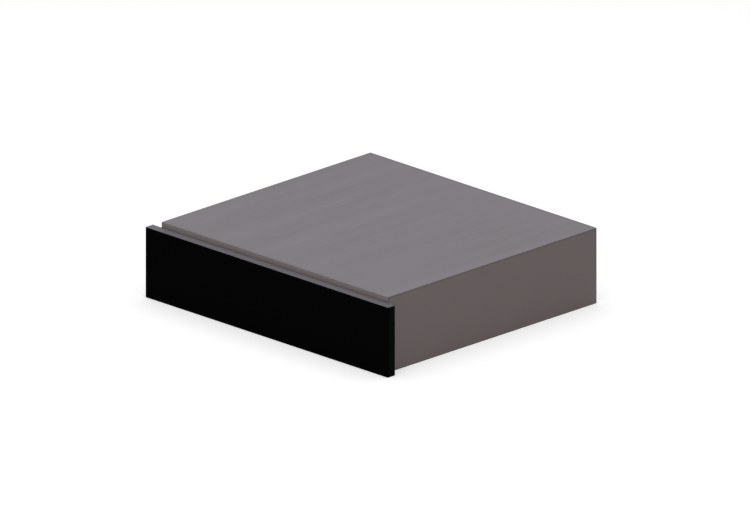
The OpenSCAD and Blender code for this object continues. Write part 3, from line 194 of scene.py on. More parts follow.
# Streaks drawn out along one axis: the Stretch is how far each axis is squeezed, in cycles a metre
grain_group, grain_in, grain_out = named_group("brushed_grain", {"Stretch": (600, 6, 600)},
                                               ["Streak", "Cloud"])
place = node_with(grain_group, "ShaderNodeTexCoord", {}, output="Object")
squeezed = node_with(grain_group, "ShaderNodeVectorMath", {0: place, 1: grain_in["Stretch"]},
                     operation="MULTIPLY")
fine = noise(grain_group, squeezed, scale=1.0, detail=5.0, roughness=0.68)
wide = noise(grain_group, squeezed, scale=0.12, detail=2.0)
fine_share = 0.5
streak = math_node(grain_group, "ADD", math_node(grain_group, "MULTIPLY", fine, fine_share),
                   math_node(grain_group, "MULTIPLY", wide, 1 - fine_share))
grain_group.links.new(streak, grain_out["Streak"])
grain_group.links.new(noise(grain_group, place, scale=6.0, detail=2.0), grain_out["Cloud"])

# A thin mask along sharp edges, from how far a rounded normal leans away from the flat one. A higher Gain
# makes the line crisper. The materials use it to paint a highlight or a shade line along the edges
edge_group, edge_in, edge_out = named_group("edge_line", {"Radius": 0.0012, "Gain": 6.0}, ["Edge"])
rounded = node_with(edge_group, "ShaderNodeBevel", {"Radius": edge_in["Radius"]}, samples=4)
flat = node_with(edge_group, "ShaderNodeNewGeometry", {}, output="Normal")
together = node_with(edge_group, "ShaderNodeVectorMath", {0: rounded, 1: flat}, output="Value",
                     operation="DOT_PRODUCT")
away = math_node(edge_group, "SUBTRACT", 1.0, together)
edge_group.links.new(math_node(edge_group, "MULTIPLY", away, edge_in["Gain"], clamp=True), edge_out["Edge"])


def srgb(red, green, blue):
    """The linear colour of an sRGB one that is given in 0 to 255."""
    def linear(value):
        value /= 255
        return value / 12.92 if value <= 0.04045 else ((value + 0.055) / 1.055) ** 2.4
    return (linear(red), linear(green), linear(blue), 1)


def shade(color, factor):
    """A colour made lighter or darker."""
    return tuple(min(1.0, channel * factor) for channel in color[:3]) + (1,)


def use_group(tree, group, **values):
    """The outputs of a group with its own values."""
    return node_with(tree, "ShaderNodeGroup", values, node_tree=group).node.outputs


def blend_colors(tree, mask, low, high):
    """A mix of two colours, each a value or a socket, by a mask."""
    first_color, second_color, mixed_color = 6, 7, 2
    return node_with(tree, "ShaderNodeMix", {"Factor": mask, first_color: low, second_color: high},
                     output=mixed_color, data_type="RGBA")


def spread(tree, mask, low, high):
    """Maps a noise of about 0.3 to 0.7 onto a range of values."""
    noise_low, noise_high = 0.3, 0.7
    return node_with(tree, "ShaderNodeMapRange", {"Value": mask, "From Min": noise_low,
                                                  "From Max": noise_high, "To Min": low, "To Max": high})


def relief(tree, height, strength, distance):
    """A normal that follows a height mask."""
    return node_with(tree, "ShaderNodeBump", {"Height": height, "Strength": strength, "Distance": distance})


def coat(tree, surface, inputs):
    """Gives a surface a Principled shader."""
    tree.links.new(node_with(tree, "ShaderNodeBsdfPrincipled", inputs), surface)


def sheet_metal(name, color, stretch, contrast, roughness, metallic=1.0, edge=1.0, bump=0.15, specular=0.5,
                painted_upright_light=None, edge_size=0.0012, edge_gain=6.0):
    """Brushed or rolled sheet. Contrast is the streaks' share of the colour, edge the lightness painted along
    the edges (above 1 a painted highlight, below 1 a painted shade line), and painted_upright_light a lighter
    colour painted on upright faces, without metal, that stands in for the light that falls on them."""
    cloud_share, cloud_lightness, roughness_swing, grain_depth = 0.5, 1.03, 0.05, 0.00004
    material, tree, surface = new_material(name)
    grain = use_group(tree, grain_group, Stretch=stretch)
    tone = blend_colors(tree, spread(tree, grain["Streak"], 0, 1), shade(color, 1 - contrast),
                        shade(color, 1 + contrast))
    tone = blend_colors(tree, spread(tree, grain["Cloud"], 0, cloud_share), tone,
                        shade(color, cloud_lightness))
    # Upright faces get a lighter painted colour and no metal, which stands in for the light that falls on
    # them
    if painted_upright_light:
        upright_limit = 0.5
        facing = node_with(tree, "ShaderNodeTexCoord", {}, output="Normal")
        upwards = node_with(tree, "ShaderNodeSeparateXYZ", {0: facing}, output="Z")
        level = math_node(tree, "GREATER_THAN", upwards, upright_limit)
        tone = blend_colors(tree, level, painted_upright_light, tone)
        metallic = math_node(tree, "MULTIPLY", level, metallic)
    # Painted along the edges: a highlight where edge is above 1, a shade line where it is below 1
    if edge != 1.0:
        line = use_group(tree, edge_group, Radius=edge_size, Gain=edge_gain)
        tone = blend_colors(tree, line["Edge"], tone, shade(painted_upright_light or color, edge))
    coat(tree, surface, {
        "Base Color": tone, "Metallic": metallic, "Specular IOR Level": specular,
        "Roughness": spread(tree, grain["Streak"], roughness - roughness_swing, roughness + roughness_swing),
        "Normal": relief(tree, grain["Streak"], bump, grain_depth)})
    return material


def finish_with(material, *names):
    """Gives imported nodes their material."""
    for name in names:
        for slot in parts[name].material_slots:
            slot.material = material


# Upright folds painted lighter as painted light; edges painted darker as a painted shade line
cover_sheet = sheet_metal("cover_sheet", srgb(113, 107, 113), stretch=(260, 20, 260), contrast=0.27,
                          roughness=0.45, metallic=0.5, edge=0.6, specular=0.3, painted_upright_light=srgb(134, 124, 122),
                          edge_size=0.002, edge_gain=20)
finish_with(cover_sheet, "top_cover")

# ---- Side panels ----
# The same gauge of steel, painted darker than the top cover as a stand-in for the shade on the sides, with an
# upright grain so faint that it shows only close to, and a painted shade line along its edges. Each is folded
# in at the top, the front and the rear.
side_sheet = sheet_metal("side_sheet", srgb(100, 91, 90), stretch=(400, 400, 14), contrast=0.05,
                         roughness=0.48, metallic=0.5, edge=0.65, edge_size=0.002, edge_gain=20)
finish_with(side_sheet, "left_side_panel", "right_side_panel")

# ---- Base pan and rear panel ----
# Zinc-coated steel, left bare: pale grey with the soft patches of the zinc. Beads are pressed into the base,
# and the rear panel has air slots and a pocket for the supply.
# Its edges are painted a little lighter, a painted highlight
zinc_sheet = sheet_metal("zinc_sheet", srgb(168, 168, 170), stretch=(110, 110, 110), contrast=0.12,
                         roughness=0.46, metallic=0.85, edge=1.12)
finish_with(zinc_sheet, "base_pan", "rear_panel")


# ---- Rear air slots ----
# Three fields of 13 upright slots are punched in the rear panel, clear of its screws. The punch leaves a thin
# raised bead round each.
def geometry_tree(name, defaults):
    """An empty geometry tree with named inputs and a material input."""
    tree = bpy.data.node_groups.new(name, "GeometryNodeTree")
    tree.interface.new_socket("Geometry", in_out="INPUT", socket_type="NodeSocketGeometry")
    add_inputs(tree, defaults)
    tree.interface.new_socket("Finish", in_out="INPUT", socket_type="NodeSocketMaterial")
    tree.interface.new_socket("Geometry", in_out="OUTPUT", socket_type="NodeSocketGeometry")
    return tree, tree.nodes.new("NodeGroupInput").outputs


def end_tree(tree, sizes, geometry):
    """Turns copies into a real mesh, gives it its finish and puts it out."""
    solid = node_with(tree, "GeometryNodeRealizeInstances", {"Geometry": geometry})
    finished = node_with(tree, "GeometryNodeSetMaterial", {"Geometry": solid, "Material": sizes["Finish"]})
    out = tree.nodes.new("NodeGroupOutput")
    tree.links.new(finished, out.inputs["Geometry"])


def on_each_point(tree, sizes, instance):
    """Puts a shape on every point of the start mesh, turned to the point's facing, and ends the tree."""
    facing = node_with(tree, "GeometryNodeInputNamedAttribute", {"Name": "facing"}, data_type="FLOAT_VECTOR")
    turn = node_with(tree, "FunctionNodeAlignRotationToVector", {"Vector": facing}, axis="Z")
    copies = node_with(tree, "GeometryNodeInstanceOnPoints",
                       {"Points": sizes["Geometry"], "Instance": instance, "Rotation": turn})
    end_tree(tree, sizes, copies)


def points_mesh(name, places, facing):
    """Bare points that all face one way."""
    mesh = bpy.data.meshes.new(name)
    mesh.from_pydata(places, [], [])
    directions = mesh.attributes.new("facing", "FLOAT_VECTOR", "POINT")
    for entry in directions.data:
        entry.vector = facing
    return mesh


def plain_mesh(holder, keep_layers=False):
    """The mesh that an object's modifiers or letters make. The object itself goes."""
    state = bpy.context.evaluated_depsgraph_get()
    mesh = bpy.data.meshes.new_from_object(holder.evaluated_get(state), preserve_all_data_layers=keep_layers,
                                           depsgraph=state)
    bpy.data.objects.remove(holder)
    return mesh


def face_outwards(mesh):
    """Turns the faces of a closed mesh outwards."""
    solid = bmesh.new()
    solid.from_mesh(mesh)
    bmesh.ops.recalc_face_normals(solid, faces=solid.faces[:])
    solid.to_mesh(mesh)
    solid.free()


def smooth_by_angle(piece, degrees):
    """Smooth faces, with an edge kept sharp past the angle."""
    mesh = piece.data
    mesh.shade_smooth()
    limit = math.radians(degrees)
    solid = bmesh.new()
    solid.from_mesh(mesh)
    for edge in solid.edges:
        edge.smooth = len(edge.link_faces) == 2 and edge.calc_face_angle() < limit
    solid.to_mesh(mesh)
    solid.free()


def grow(name, tree, start, sizes, degrees=35):
    """The plain mesh object that a geometry tree makes of a start mesh, with its faces turned outwards."""
    holder = add_object(name + "_start", start)
    modifier = holder.modifiers.new("grow", "NODES")
    modifier.node_group = tree
    for item in tree.interface.items_tree:
        if item.in_out == "INPUT" and item.name in sizes:
            modifier[item.identifier] = sizes[item.name]
    piece = add_object(name, plain_mesh(holder, keep_layers=True))
    face_outwards(piece.data)
    smooth_by_angle(piece, degrees)
    return piece


slot_bead, sizes = geometry_tree("slot_bead", {"Slot width": 0.004, "Slot length": 0.036,
                                               "Bead radius": 0.0004})
outline = node_with(slot_bead, "GeometryNodeCurvePrimitiveQuadrilateral",
                    {"Width": sizes["Slot width"], "Height": sizes["Slot length"]})
nearly_half = 0.499
end_radius = math_node(slot_bead, "MULTIPLY", sizes["Slot width"], nearly_half)
outline = node_with(slot_bead, "GeometryNodeFilletCurve",
                    {"Curve": outline, "Count": 4, "Limit Radius": True, "Radius": end_radius}, mode="POLY")
bead_round = node_with(slot_bead, "GeometryNodeCurvePrimitiveCircle",
                       {"Resolution": 6, "Radius": sizes["Bead radius"]})
bead = node_with(slot_bead, "GeometryNodeCurveToMesh", {"Curve": outline, "Profile Curve": bead_round})
on_each_point(slot_bead, sizes, bead)

rear_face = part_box("rear_panel")[1].y
field_middles, slots_in_field, slot_pitch, slot_height = (-0.095, 0.06, 0.19), 13, 0.009, 0.062
slot_places = [(middle + (i - (slots_in_field - 1) / 2) * slot_pitch, rear_face, slot_height)
               for middle in field_middles for i in range(slots_in_field)]
rear_beads = grow("rear_slot_beads", slot_bead, points_mesh("rear_slots", slot_places, (0, 1, 0)),
                  {"Finish": zinc_sheet})
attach(rear_beads, "cabinet")


# ---- Screws ----
# Zinc-plated pan-head screws with a cross recess. They hold the rear panel to the casing, the front to the
# control box from inside it, and the tray to its slides.
def plain_metal(name, color, roughness):
    """Machined or plated metal with a slight mottle and a painted highlight along its edges."""
    return sheet_metal(name, color, stretch=(160, 160, 160), contrast=0.05, roughness=roughness, edge=1.15,
                       bump=0.05)


def joined(tree, *shapes):
    """Several shapes as one."""
    join = tree.nodes.new("GeometryNodeJoinGeometry")
    for shape in shapes:
        tree.links.new(shape, join.inputs[0])
    return join.outputs[0]


def moved(tree, shape, **change):
    """A shape with its own Translation, Rotation or Scale."""
    return node_with(tree, "GeometryNodeTransform", {"Geometry": shape, **change})


def xyz(tree, **axes):
    """A vector from its X, Y and Z, each a value or a socket."""
    return node_with(tree, "ShaderNodeCombineXYZ", axes)


def turned_stack(tree, corners, steps):
    """A closed shape of unit radius and height on an axis, from (low radius, high radius, height) steps."""
    ends = [node_with(tree, "GeometryNodeMeshCircle", {"Vertices": corners, "Radius": radius},
                      fill_type="NGON") for radius in (steps[0][0], steps[-1][1])]
    shapes, z = [ends[0]], 0.0
    for low, high, height in steps:
        band = node_with(tree, "GeometryNodeMeshCone",
                         {"Vertices": corners, "Radius Bottom": low, "Radius Top": high, "Depth": height},
                         fill_type="NONE")
        shapes.append(moved(tree, band, Translation=(0, 0, z)))
        z += height
    shapes.append(moved(tree, ends[1], Translation=(0, 0, z)))
    return node_with(tree, "GeometryNodeMergeByDistance",
                     {"Geometry": joined(tree, *shapes), "Distance": 0.001})


def scaled(tree, shape, radius, height, lift=0.0):
    """A unit shape at a real radius and height."""
    return moved(tree, shape, Scale=xyz(tree, X=radius, Y=radius, Z=height), Translation=xyz(tree, Z=lift))


pan_screw, sizes = geometry_tree("pan_screw", {"Head radius": 0.0034, "Head height": 0.0015,
                                               "Shank radius": 0.00175, "Shank length": 0.009,
                                               "Recess length": 0.004, "Recess width": 0.0009})
domed_head = [(0.97, 1.0, 0.12), (1.0, 0.97, 0.3), (0.97, 0.84, 0.28), (0.84, 0.62, 0.2), (0.62, 0.3, 0.1)]
pointed_shank = [(0.55, 1.0, 0.15), (1.0, 1.0, 0.85)]
recess_share = 1.4
head = scaled(pan_screw, turned_stack(pan_screw, 20, domed_head), sizes["Head radius"], sizes["Head height"])
recess_height = math_node(pan_screw, "MULTIPLY", sizes["Head height"], recess_share)
head_top = xyz(pan_screw, Z=sizes["Head height"])
for length, width in (("Recess length", "Recess width"), ("Recess width", "Recess length")):
    bar_size = xyz(pan_screw, X=sizes[length], Y=sizes[width], Z=recess_height)
    bar = node_with(pan_screw, "GeometryNodeMeshCube", {"Size": bar_size})
    bar = moved(pan_screw, bar, Translation=head_top)
    head = node_with(pan_screw, "GeometryNodeMeshBoolean", {0: head, 1: bar}, operation="DIFFERENCE",
                     solver="EXACT")
shank = scaled(pan_screw, turned_stack(pan_screw, 12, pointed_shank), sizes["Shank radius"],
               sizes["Shank length"], math_node(pan_screw, "MULTIPLY", sizes["Shank length"], -1.0))
on_each_point(pan_screw, sizes, joined(pan_screw, head, shank))

plated_screws = plain_metal("plated_screws", srgb(196, 196, 198), roughness=0.3)
top_row_z, bottom_row_z, side_column_x = 0.1325, 0.006, 0.272
casing_places = ([(x, rear_face, top_row_z) for x in (-0.18, 0, 0.18)]
                 + [(x, rear_face, bottom_row_z) for x in (-0.12, 0.12)]
                 + [(x, rear_face, z) for x in (-side_column_x, side_column_x) for z in (0.016, 0.07, 0.118)])
casing_screws = grow("rear_panel_screws", pan_screw, points_mesh("casing_points", casing_places, (0, 1, 0)),
                     {"Finish": plated_screws, "Shank length": 0.009})
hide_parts("casing_screws")
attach(casing_screws, "cabinet")

box_wall = -0.2485
front_places = [(x, box_wall, z) for x in (-0.24, -0.08, 0.08, 0.24) for z in (0.03, 0.092)]
front_screws = grow("front_screws", pan_screw, points_mesh("front_points", front_places, (0, 1, 0)),
                    {"Finish": plated_screws, "Shank length": 0.008})
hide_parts("drawer_screws")
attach(front_screws, "drawer")

tray_wall, slide_height = 0.2633, 0.06
for side, name in ((-1, "left_slide_screws"), (1, "right_slide_screws")):
    slide_places = [(side * tray_wall, y, slide_height) for y in (-0.219, -0.019, 0.181)]
    slide_screws = grow(name, pan_screw, points_mesh(name + "_points", slide_places, (-side, 0, 0)),
                        {"Finish": plated_screws, "Shank length": 0.0045})
    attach(slide_screws, "drawer")


# ---- Supply entry ----
# A black moulded gland with its nut in the wall of the rear panel's pocket, and inside, the terminal block of
# cream plastic under a black cover. All are moulded with a fine sparked grain.
def moulding(name, color, roughness, grain=1400.0):
    """Moulded plastic or rubber: a fine speckled grain in colour, roughness and height, and a painted
    highlight along the edges.
    """
    speckle_dark, speckle_light, grain_strength, grain_depth = 0.9, 1.12, 0.4, 0.00005
    edge_size, edge_share, painted_edge_highlight, roughness_swing = 0.0006, 0.5, 1.9, 0.06
    material, tree, surface = new_material(name)
    speckle = use_group(tree, grain_group, Stretch=(grain, grain, grain))
    tone = blend_colors(tree, spread(tree, speckle["Streak"], 0, 1), shade(color, speckle_dark),
                        shade(color, speckle_light))
    # A painted highlight along the edges, lighter than the moulding's own colour
    line = use_group(tree, edge_group, Radius=edge_size)
    tone = blend_colors(tree, math_node(tree, "MULTIPLY", line["Edge"], edge_share), tone,
                        shade(color, painted_edge_highlight))
    coat(tree, surface, {
        "Base Color": tone, "Specular IOR Level": 0.35,
        "Roughness": spread(tree, speckle["Cloud"], roughness - roughness_swing, roughness + roughness_swing),
        "Normal": relief(tree, speckle["Streak"], grain_strength, grain_depth)})
    return material


black_moulding = moulding("black_moulding", srgb(38, 38, 40), roughness=0.5)
finish_with(black_moulding, "cable_gland", "terminal_cover")
cream_moulding = moulding("cream_moulding", srgb(226, 220, 205), roughness=0.45)
finish_with(cream_moulding, "terminal_block")

# ---- Front buffers ----
# Four small round pads of black rubber with a bevelled end, stuck to the casing's front edge, two at each
# side. They soften the stop when the front is pushed in.
black_rubber = moulding("black_rubber", srgb(28, 28, 29), roughness=0.75, grain=900.0)
finish_with(black_rubber, "front_buffers")

# ---- Push latch ----
# A steel plunger in a black housing that is screwed to the rear panel, behind the drawer's plated striker.
# Its spring is wound from 1 mm wire with close end turns. It stands between the plunger's collar and the
# housing's floor, and moves with the plunger as one piece.
finish_with(black_moulding, "latch_housing")
finish_with(plated_screws, "latch_striker")
spring_steel = plain_metal("spring_steel", srgb(185, 186, 190), roughness=0.28)
finish_with(spring_steel, "latch_plunger")

wound_spring, sizes = geometry_tree("wound_spring", {"Turns": 6.0, "Coil radius": 0.004,
                                                     "Wire radius": 0.0005, "Length": 0.02})
ring_turns = node_with(wound_spring, "GeometryNodeCurveSpiral",
                       {"Resolution": 24, "Rotations": sizes["Turns"], "Start Radius": sizes["Coil radius"],
                        "End Radius": sizes["Coil radius"], "Height": 0.0})
# The climb starts and ends slowly, which lays the end turns close
along = node_with(wound_spring, "GeometryNodeSplineParameter", {})
climb = node_with(wound_spring, "ShaderNodeMapRange", {"Value": along, "To Max": sizes["Length"]},
                  interpolation_type="SMOOTHSTEP")
wire_path = node_with(wound_spring, "GeometryNodeSetPosition",
                      {"Geometry": ring_turns, "Offset": xyz(wound_spring, Z=climb)})
wire_round = node_with(wound_spring, "GeometryNodeCurvePrimitiveCircle",
                       {"Resolution": 8, "Radius": sizes["Wire radius"]})
wire = node_with(wound_spring, "GeometryNodeCurveToMesh",
                 {"Curve": wire_path, "Profile Curve": wire_round, "Fill Caps": True})
on_each_point(wound_spring, sizes, wire)

spring_low, spring_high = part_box("latch_spring")
spring_middle = (spring_low + spring_high) / 2
wire_radius, latch_travel = 0.0005, 0.002
spring_length = spring_high.y - spring_low.y
spring_start = (spring_middle.x, spring_low.y + wire_radius, spring_middle.z)
latch_coil = grow("latch_coil", wound_spring, points_mesh("latch_coil", [spring_start], (0, 1, 0)),
                  {"Coil radius": (spring_high.x - spring_low.x) / 2 - wire_radius,
                   "Wire radius": wire_radius, "Length": spring_length - 2 * wire_radius,
                   "Finish": spring_steel}, degrees=60)
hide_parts("latch_spring")
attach(latch_coil, "plunger")
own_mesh(latch_coil)

# ---- Ball slides ----
# Cold-rolled steel members with rolled grooves, zinc plated. The cages are pressed from thinner strip, and
# the balls are polished steel.
# The members' edges are painted a little lighter, a painted highlight
slide_steel = sheet_metal("slide_steel", srgb(178, 181, 186), stretch=(300, 5, 300), contrast=0.05,
                          roughness=0.3, edge=1.15)
cage_strip = sheet_metal("cage_strip", srgb(150, 152, 152), stretch=(200, 20, 200), contrast=0.06,
                         roughness=0.4)
ball_steel = plain_metal("ball_steel", srgb(215, 217, 220), roughness=0.12)
for side in ("left", "right"):
    finish_with(slide_steel, side + "_outer_rail", side + "_middle_rail", side + "_inner_rail")
    finish_with(cage_strip, side + "_outer_cage", side + "_inner_cage")
    finish_with(ball_steel, side + "_outer_balls", side + "_inner_balls")


# ---- Front glass ----
# A pane of toughened glass, 4 mm thick, with its back printed black and its edges ground. It is bonded to the
# carrier behind it and shows no fixing.
def rounded_box(name, low, high, radius, steps):
    """A box with its edges rounded, placed by its mesh."""
    low, high = Vector(low), Vector(high)
    size, middle = high - low, (low + high) / 2
    solid = bmesh.new()
    bmesh.ops.create_cube(solid, size=1.0)
    for vertex in solid.verts:
        vertex.co = Vector((vertex.co[i] * size[i] for i in range(3))) + middle
    bmesh.ops.bevel(solid, geom=solid.edges[:], offset=radius, segments=steps, profile=0.5, affect="EDGES")
    mesh = bpy.data.meshes.new(name)
    solid.to_mesh(mesh)
    solid.free()
    face_outwards(mesh)
    return add_object(name, mesh)


glass_low, glass_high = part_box("front_glass")
ground_edge = 0.0003
pane = rounded_box("glass_pane", glass_low, glass_high, ground_edge, 2)
smooth_by_angle(pane, 20)
glass_black, glass_grey = srgb(3, 2, 2), shade(srgb(3, 2, 2), 1.25)
glass_material, tree, surface = new_material("black_glass")
wipe = use_group(tree, grain_group, Stretch=(14, 14, 30))
coat(tree, surface, {
    "Base Color": blend_colors(tree, spread(tree, wipe["Streak"], 0, 1), glass_black, glass_grey),
    "Roughness": spread(tree, wipe["Cloud"], 0.035, 0.07), "Specular IOR Level": 0.006, "IOR": 1.5,
    "Normal": relief(tree, wipe["Cloud"], strength=0.02, distance=0.0002)})
pane.data.materials.append(glass_material)
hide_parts("front_glass")
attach(pane, "drawer")

# ---- Front's trim and profiles ----
# A satin metal strip covers the front's upper edge over its full depth. The other three edges have black
# profiles, bonded behind the glass, and a folded black sheet closes the back.
# The trim's edges are painted dark, a painted shade line
satin_trim = sheet_metal("satin_trim", srgb(99, 97, 105), stretch=(9, 500, 500), contrast=0.03, roughness=0.5,
                         metallic=0.1, edge=0.2, specular=0.2, edge_size=0.002, edge_gain=15)
finish_with(satin_trim, "top_trim")
# The profiles' edges are painted lighter, a painted highlight
black_coat = sheet_metal("black_coat", srgb(5, 4, 4), stretch=(400, 400, 400), contrast=0.1, roughness=0.5,
                         metallic=0.0, edge=1.6, specular=0.015)
finish_with(black_coat, "left_side_profile", "right_side_profile", "bottom_profile")
# The carrier's edges are painted lighter, a painted highlight
carrier_coat = sheet_metal("carrier_coat", srgb(46, 46, 48), stretch=(500, 500, 500), contrast=0.08,
                           roughness=0.55, metallic=0.0, edge=1.3, specular=0.2)
finish_with(carrier_coat, "panel_carrier")

# ---- Control box ----
# Folded from the tray's steel. Its fascia is satin metal, with the temperature knob, a rocker and a pilot
# lamp that are reached with the drawer pulled open. The board hangs from bosses under the fascia.
# The fascia's edges are painted a little lighter, a painted highlight
fascia_metal = sheet_metal("fascia_metal", srgb(172, 172, 176), stretch=(8, 500, 500), contrast=0.05,
                           roughness=0.36, metallic=0.95, edge=1.1)
finish_with(fascia_metal, "control_fascia")
finish_with(zinc_sheet, "front_box")
finish_with(black_moulding, "selector_body", "switch_housing")
finish_with(spring_steel, "selector_spindle")
board_green = moulding("board_green", srgb(28, 88, 58), roughness=0.4)
finish_with(board_green, "control_board")
amber_low, amber_high = srgb(176, 84, 22), srgb(214, 118, 40)
lens_material, tree, surface = new_material("amber_lens")
facets = use_group(tree, grain_group, Stretch=(900, 900, 900))
coat(tree, surface, {
    "Base Color": blend_colors(tree, spread(tree, facets["Streak"], 0, 1), amber_low, amber_high),
    "Roughness": spread(tree, facets["Cloud"], 0.12, 0.2), "Specular IOR Level": 0.5})
finish_with(lens_material, "pilot_lamp")


# ---- Temperature knob ----
# Turned from aluminium: a thin skirt and a ribbed grip with a flat top. A white line is let into the top and
# points at the dial's first mark when the drawer is switched off.
def skin(name, rings, loop=False):
    """A closed surface through rings of points. Its ends are capped, or joined to each other as a loop."""
    count = len(rings[0])
    points = [point for ring in rings for point in ring]
    faces = []
    for i in range(len(rings) if loop else len(rings) - 1):
        low, high = i * count, (i + 1) % len(rings) * count
        for k in range(count):
            after = (k + 1) % count
            faces.append((low + k, low + after, high + after, high + k))
    if not loop:
        faces += [tuple(range(count))[::-1], tuple(range(len(points) - count, len(points)))]
    mesh = bpy.data.meshes.new(name)
    mesh.from_pydata(points, [], faces)
    face_outwards(mesh)
    return add_object(name, mesh)


def round_ring(middle, radius, height, steps=64):
    """Points on a level circle."""
    return [(middle[0] + radius * math.cos(math.tau * k / steps),
             middle[1] + radius * math.sin(math.tau * k / steps), middle[2] + height) for k in range(steps)]


control_y = (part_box("control_fascia")[0].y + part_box("control_fascia")[1].y) / 2
fascia_top, knob_x, knob_gap = 0.115, 0.15, 0.0004
knob_foot = Vector((knob_x, control_y, fascia_top + knob_gap))
# Radius and height of the turning, from the skirt's foot over the grip to a fine groove round the flat top
knob_profile = [(0.0162, 0.0), (0.0168, 0.0003), (0.017, 0.0008), (0.0169, 0.0014), (0.0164, 0.0019),
                (0.0152, 0.0021), (0.0139, 0.0022), (0.0135, 0.0026), (0.0135, 0.0068), (0.0133, 0.0073),
                (0.0129, 0.0076), (0.0123, 0.0077), (0.0119, 0.0077), (0.0117, 0.0075), (0.0114, 0.0075),
                (0.0112, 0.0077)]
knob_body = skin("knob_turning", [round_ring(knob_foot, radius, height) for radius, height in knob_profile])
# The knob's edges are painted lighter, a painted highlight
knob_metal = sheet_metal("knob_metal", srgb(190, 191, 195), stretch=(90, 90, 90), contrast=0.04,
                         roughness=0.25, edge=1.2)

ribbed_grip, sizes = geometry_tree("ribbed_grip", {"Ribs": 44, "Grip radius": 0.0135, "Rib radius": 0.0004,
                                                   "Rib height": 0.0042, "Foot": (0, 0, 0)})
round_ended_rib = [(0.6, 1.0, 0.08), (1.0, 1.0, 0.84), (1.0, 0.5, 0.08)]
rib = scaled(ribbed_grip, turned_stack(ribbed_grip, 8, round_ended_rib), sizes["Rib radius"],
             sizes["Rib height"])
circle = node_with(ribbed_grip, "GeometryNodeMeshCircle",
                   {"Vertices": sizes["Ribs"], "Radius": sizes["Grip radius"]})
circle = moved(ribbed_grip, circle, Translation=sizes["Foot"])
ribs = node_with(ribbed_grip, "GeometryNodeInstanceOnPoints", {"Points": circle, "Instance": rib})
end_tree(ribbed_grip, sizes, joined(ribbed_grip, sizes["Geometry"], ribs))
rib_foot = 0.0026
knob = grow("temperature_knob", ribbed_grip, knob_body.data,
            {"Finish": knob_metal, "Foot": knob_foot + Vector((0, 0, rib_foot))})
bpy.data.objects.remove(knob_body)
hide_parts("selector_knob")
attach(knob, "knob")

white_paint = moulding("white_paint", srgb(232, 232, 230), roughness=0.5)
dial_turn = math.radians(270)
pointer_half_w, pointer_start, pointer_end, pointer_round = 0.0006, 0.004, 0.0106, 0.0001
pointer_low, pointer_high = 0.0074, 0.00785
pointer = rounded_box("knob_pointer", (-pointer_half_w, pointer_start, pointer_low),
                      (pointer_half_w, pointer_end, pointer_high), pointer_round, 2)
pointer.data.transform(Matrix.Translation(knob_foot) @ Matrix.Rotation(dial_turn / 2, 4, "Z"))
smooth_by_angle(pointer, 35)
pointer.data.materials.append(white_paint)
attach(pointer, "knob")

# ---- Dial ----
# Eleven marks are cut into the fascia round the knob and filled with dark paint. Every other one has a
# printed number, from 0 for off to 5 for the hottest.
dark_paint = moulding("dark_paint", srgb(40, 40, 42), roughness=0.6)
dial_marks, mark_half_w, mark_start, mark_end, mark_round = 11, 0.00032, 0.01845, 0.02095, 0.00005
paint_bottom, paint_top = -0.0003, -0.00003
number_radius, number_height, print_thickness = 0.0227, 0.0026, 0.00002
mark_solid = bmesh.new()
for i in range(dial_marks):
    turn = (Matrix.Translation(Vector((knob_x, control_y, fascia_top)))
            @ Matrix.Rotation(dial_turn * (0.5 - i / (dial_marks - 1)), 4, "Z"))
    mark = rounded_box("mark", (-mark_half_w, mark_start, paint_bottom), (mark_half_w, mark_end, paint_top),
                       mark_round, 1)
    mark.data.transform(turn)
    mark_solid.from_mesh(mark.data)
    bpy.data.objects.remove(mark)
    if i % 2:
        continue
    letter = bpy.data.curves.new("number", "FONT")
    letter.body = str(i // 2)
    letter.size = number_height
    letter.align_x = "CENTER"
    letter.align_y = "CENTER"
    letter.extrude = print_thickness
    print_mesh = plain_mesh(add_object("number", letter))
    number_place = turn @ Vector((0, number_radius, 0)) + Vector((0, 0, print_thickness))
    print_mesh.transform(Matrix.Translation(number_place))
    mark_solid.from_mesh(print_mesh)
dial_mesh = bpy.data.meshes.new("dial_print")
mark_solid.to_mesh(dial_mesh)
mark_solid.free()
dial = add_object("dial_print", dial_mesh)
dial_mesh.materials.append(dark_paint)
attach(dial, "drawer")

# ---- Rocker switch ----
# A black moulded rocker with a hollow back between its two raised ends, on a pin at each side. A line and a
# ring are printed on it for on and off.
rocker_half_w, rocker_half_l = 0.0085, 0.0124
hollow_low, hollow_rise, hollow_steps = 0.0018, 0.0014, 16
flank_inset, flank_depth, foot_half, foot_depth = 0.002, 0.003, 0.003, 0.007
rocker_x, pin_z, pin_radius, pin_length, off_lean = 0.09, 0.1135, 0.0015, 0.0196, math.radians(8)
rocker_pivot = Matrix.Translation(Vector((rocker_x, control_y, pin_z))) @ Matrix.Rotation(off_lean, 4, "X")


def rocker_back(y):
    """Height of the rocker's back above its pin."""
    return hollow_low + hollow_rise * (y / rocker_half_l) ** 2


section = [(y, rocker_back(y)) for y in
           (rocker_half_l * (2 * k / hollow_steps - 1) for k in range(hollow_steps + 1))]
section += [(rocker_half_l - flank_inset, -flank_depth), (foot_half, -foot_depth), (-foot_half, -foot_depth),
            (-rocker_half_l + flank_inset, -flank_depth)]
rocker = skin("rocker_cap", [[(x, y, z) for y, z in section] for x in (-rocker_half_w, rocker_half_w)])
solid = bmesh.new()
solid.from_mesh(rocker.data)
sharp_angle, edge_radius = math.radians(40), 0.0004
sharp = [edge for edge in solid.edges if edge.calc_face_angle() > sharp_angle]
bmesh.ops.bevel(solid, geom=sharp, offset=edge_radius, segments=3, profile=0.5, affect="EDGES",
                clamp_overlap=True)
bmesh.ops.create_cone(solid, cap_ends=True, segments=24, radius1=pin_radius, radius2=pin_radius,
                      depth=pin_length, matrix=Matrix.Rotation(math.radians(90), 4, "Y"))
solid.to_mesh(rocker.data)
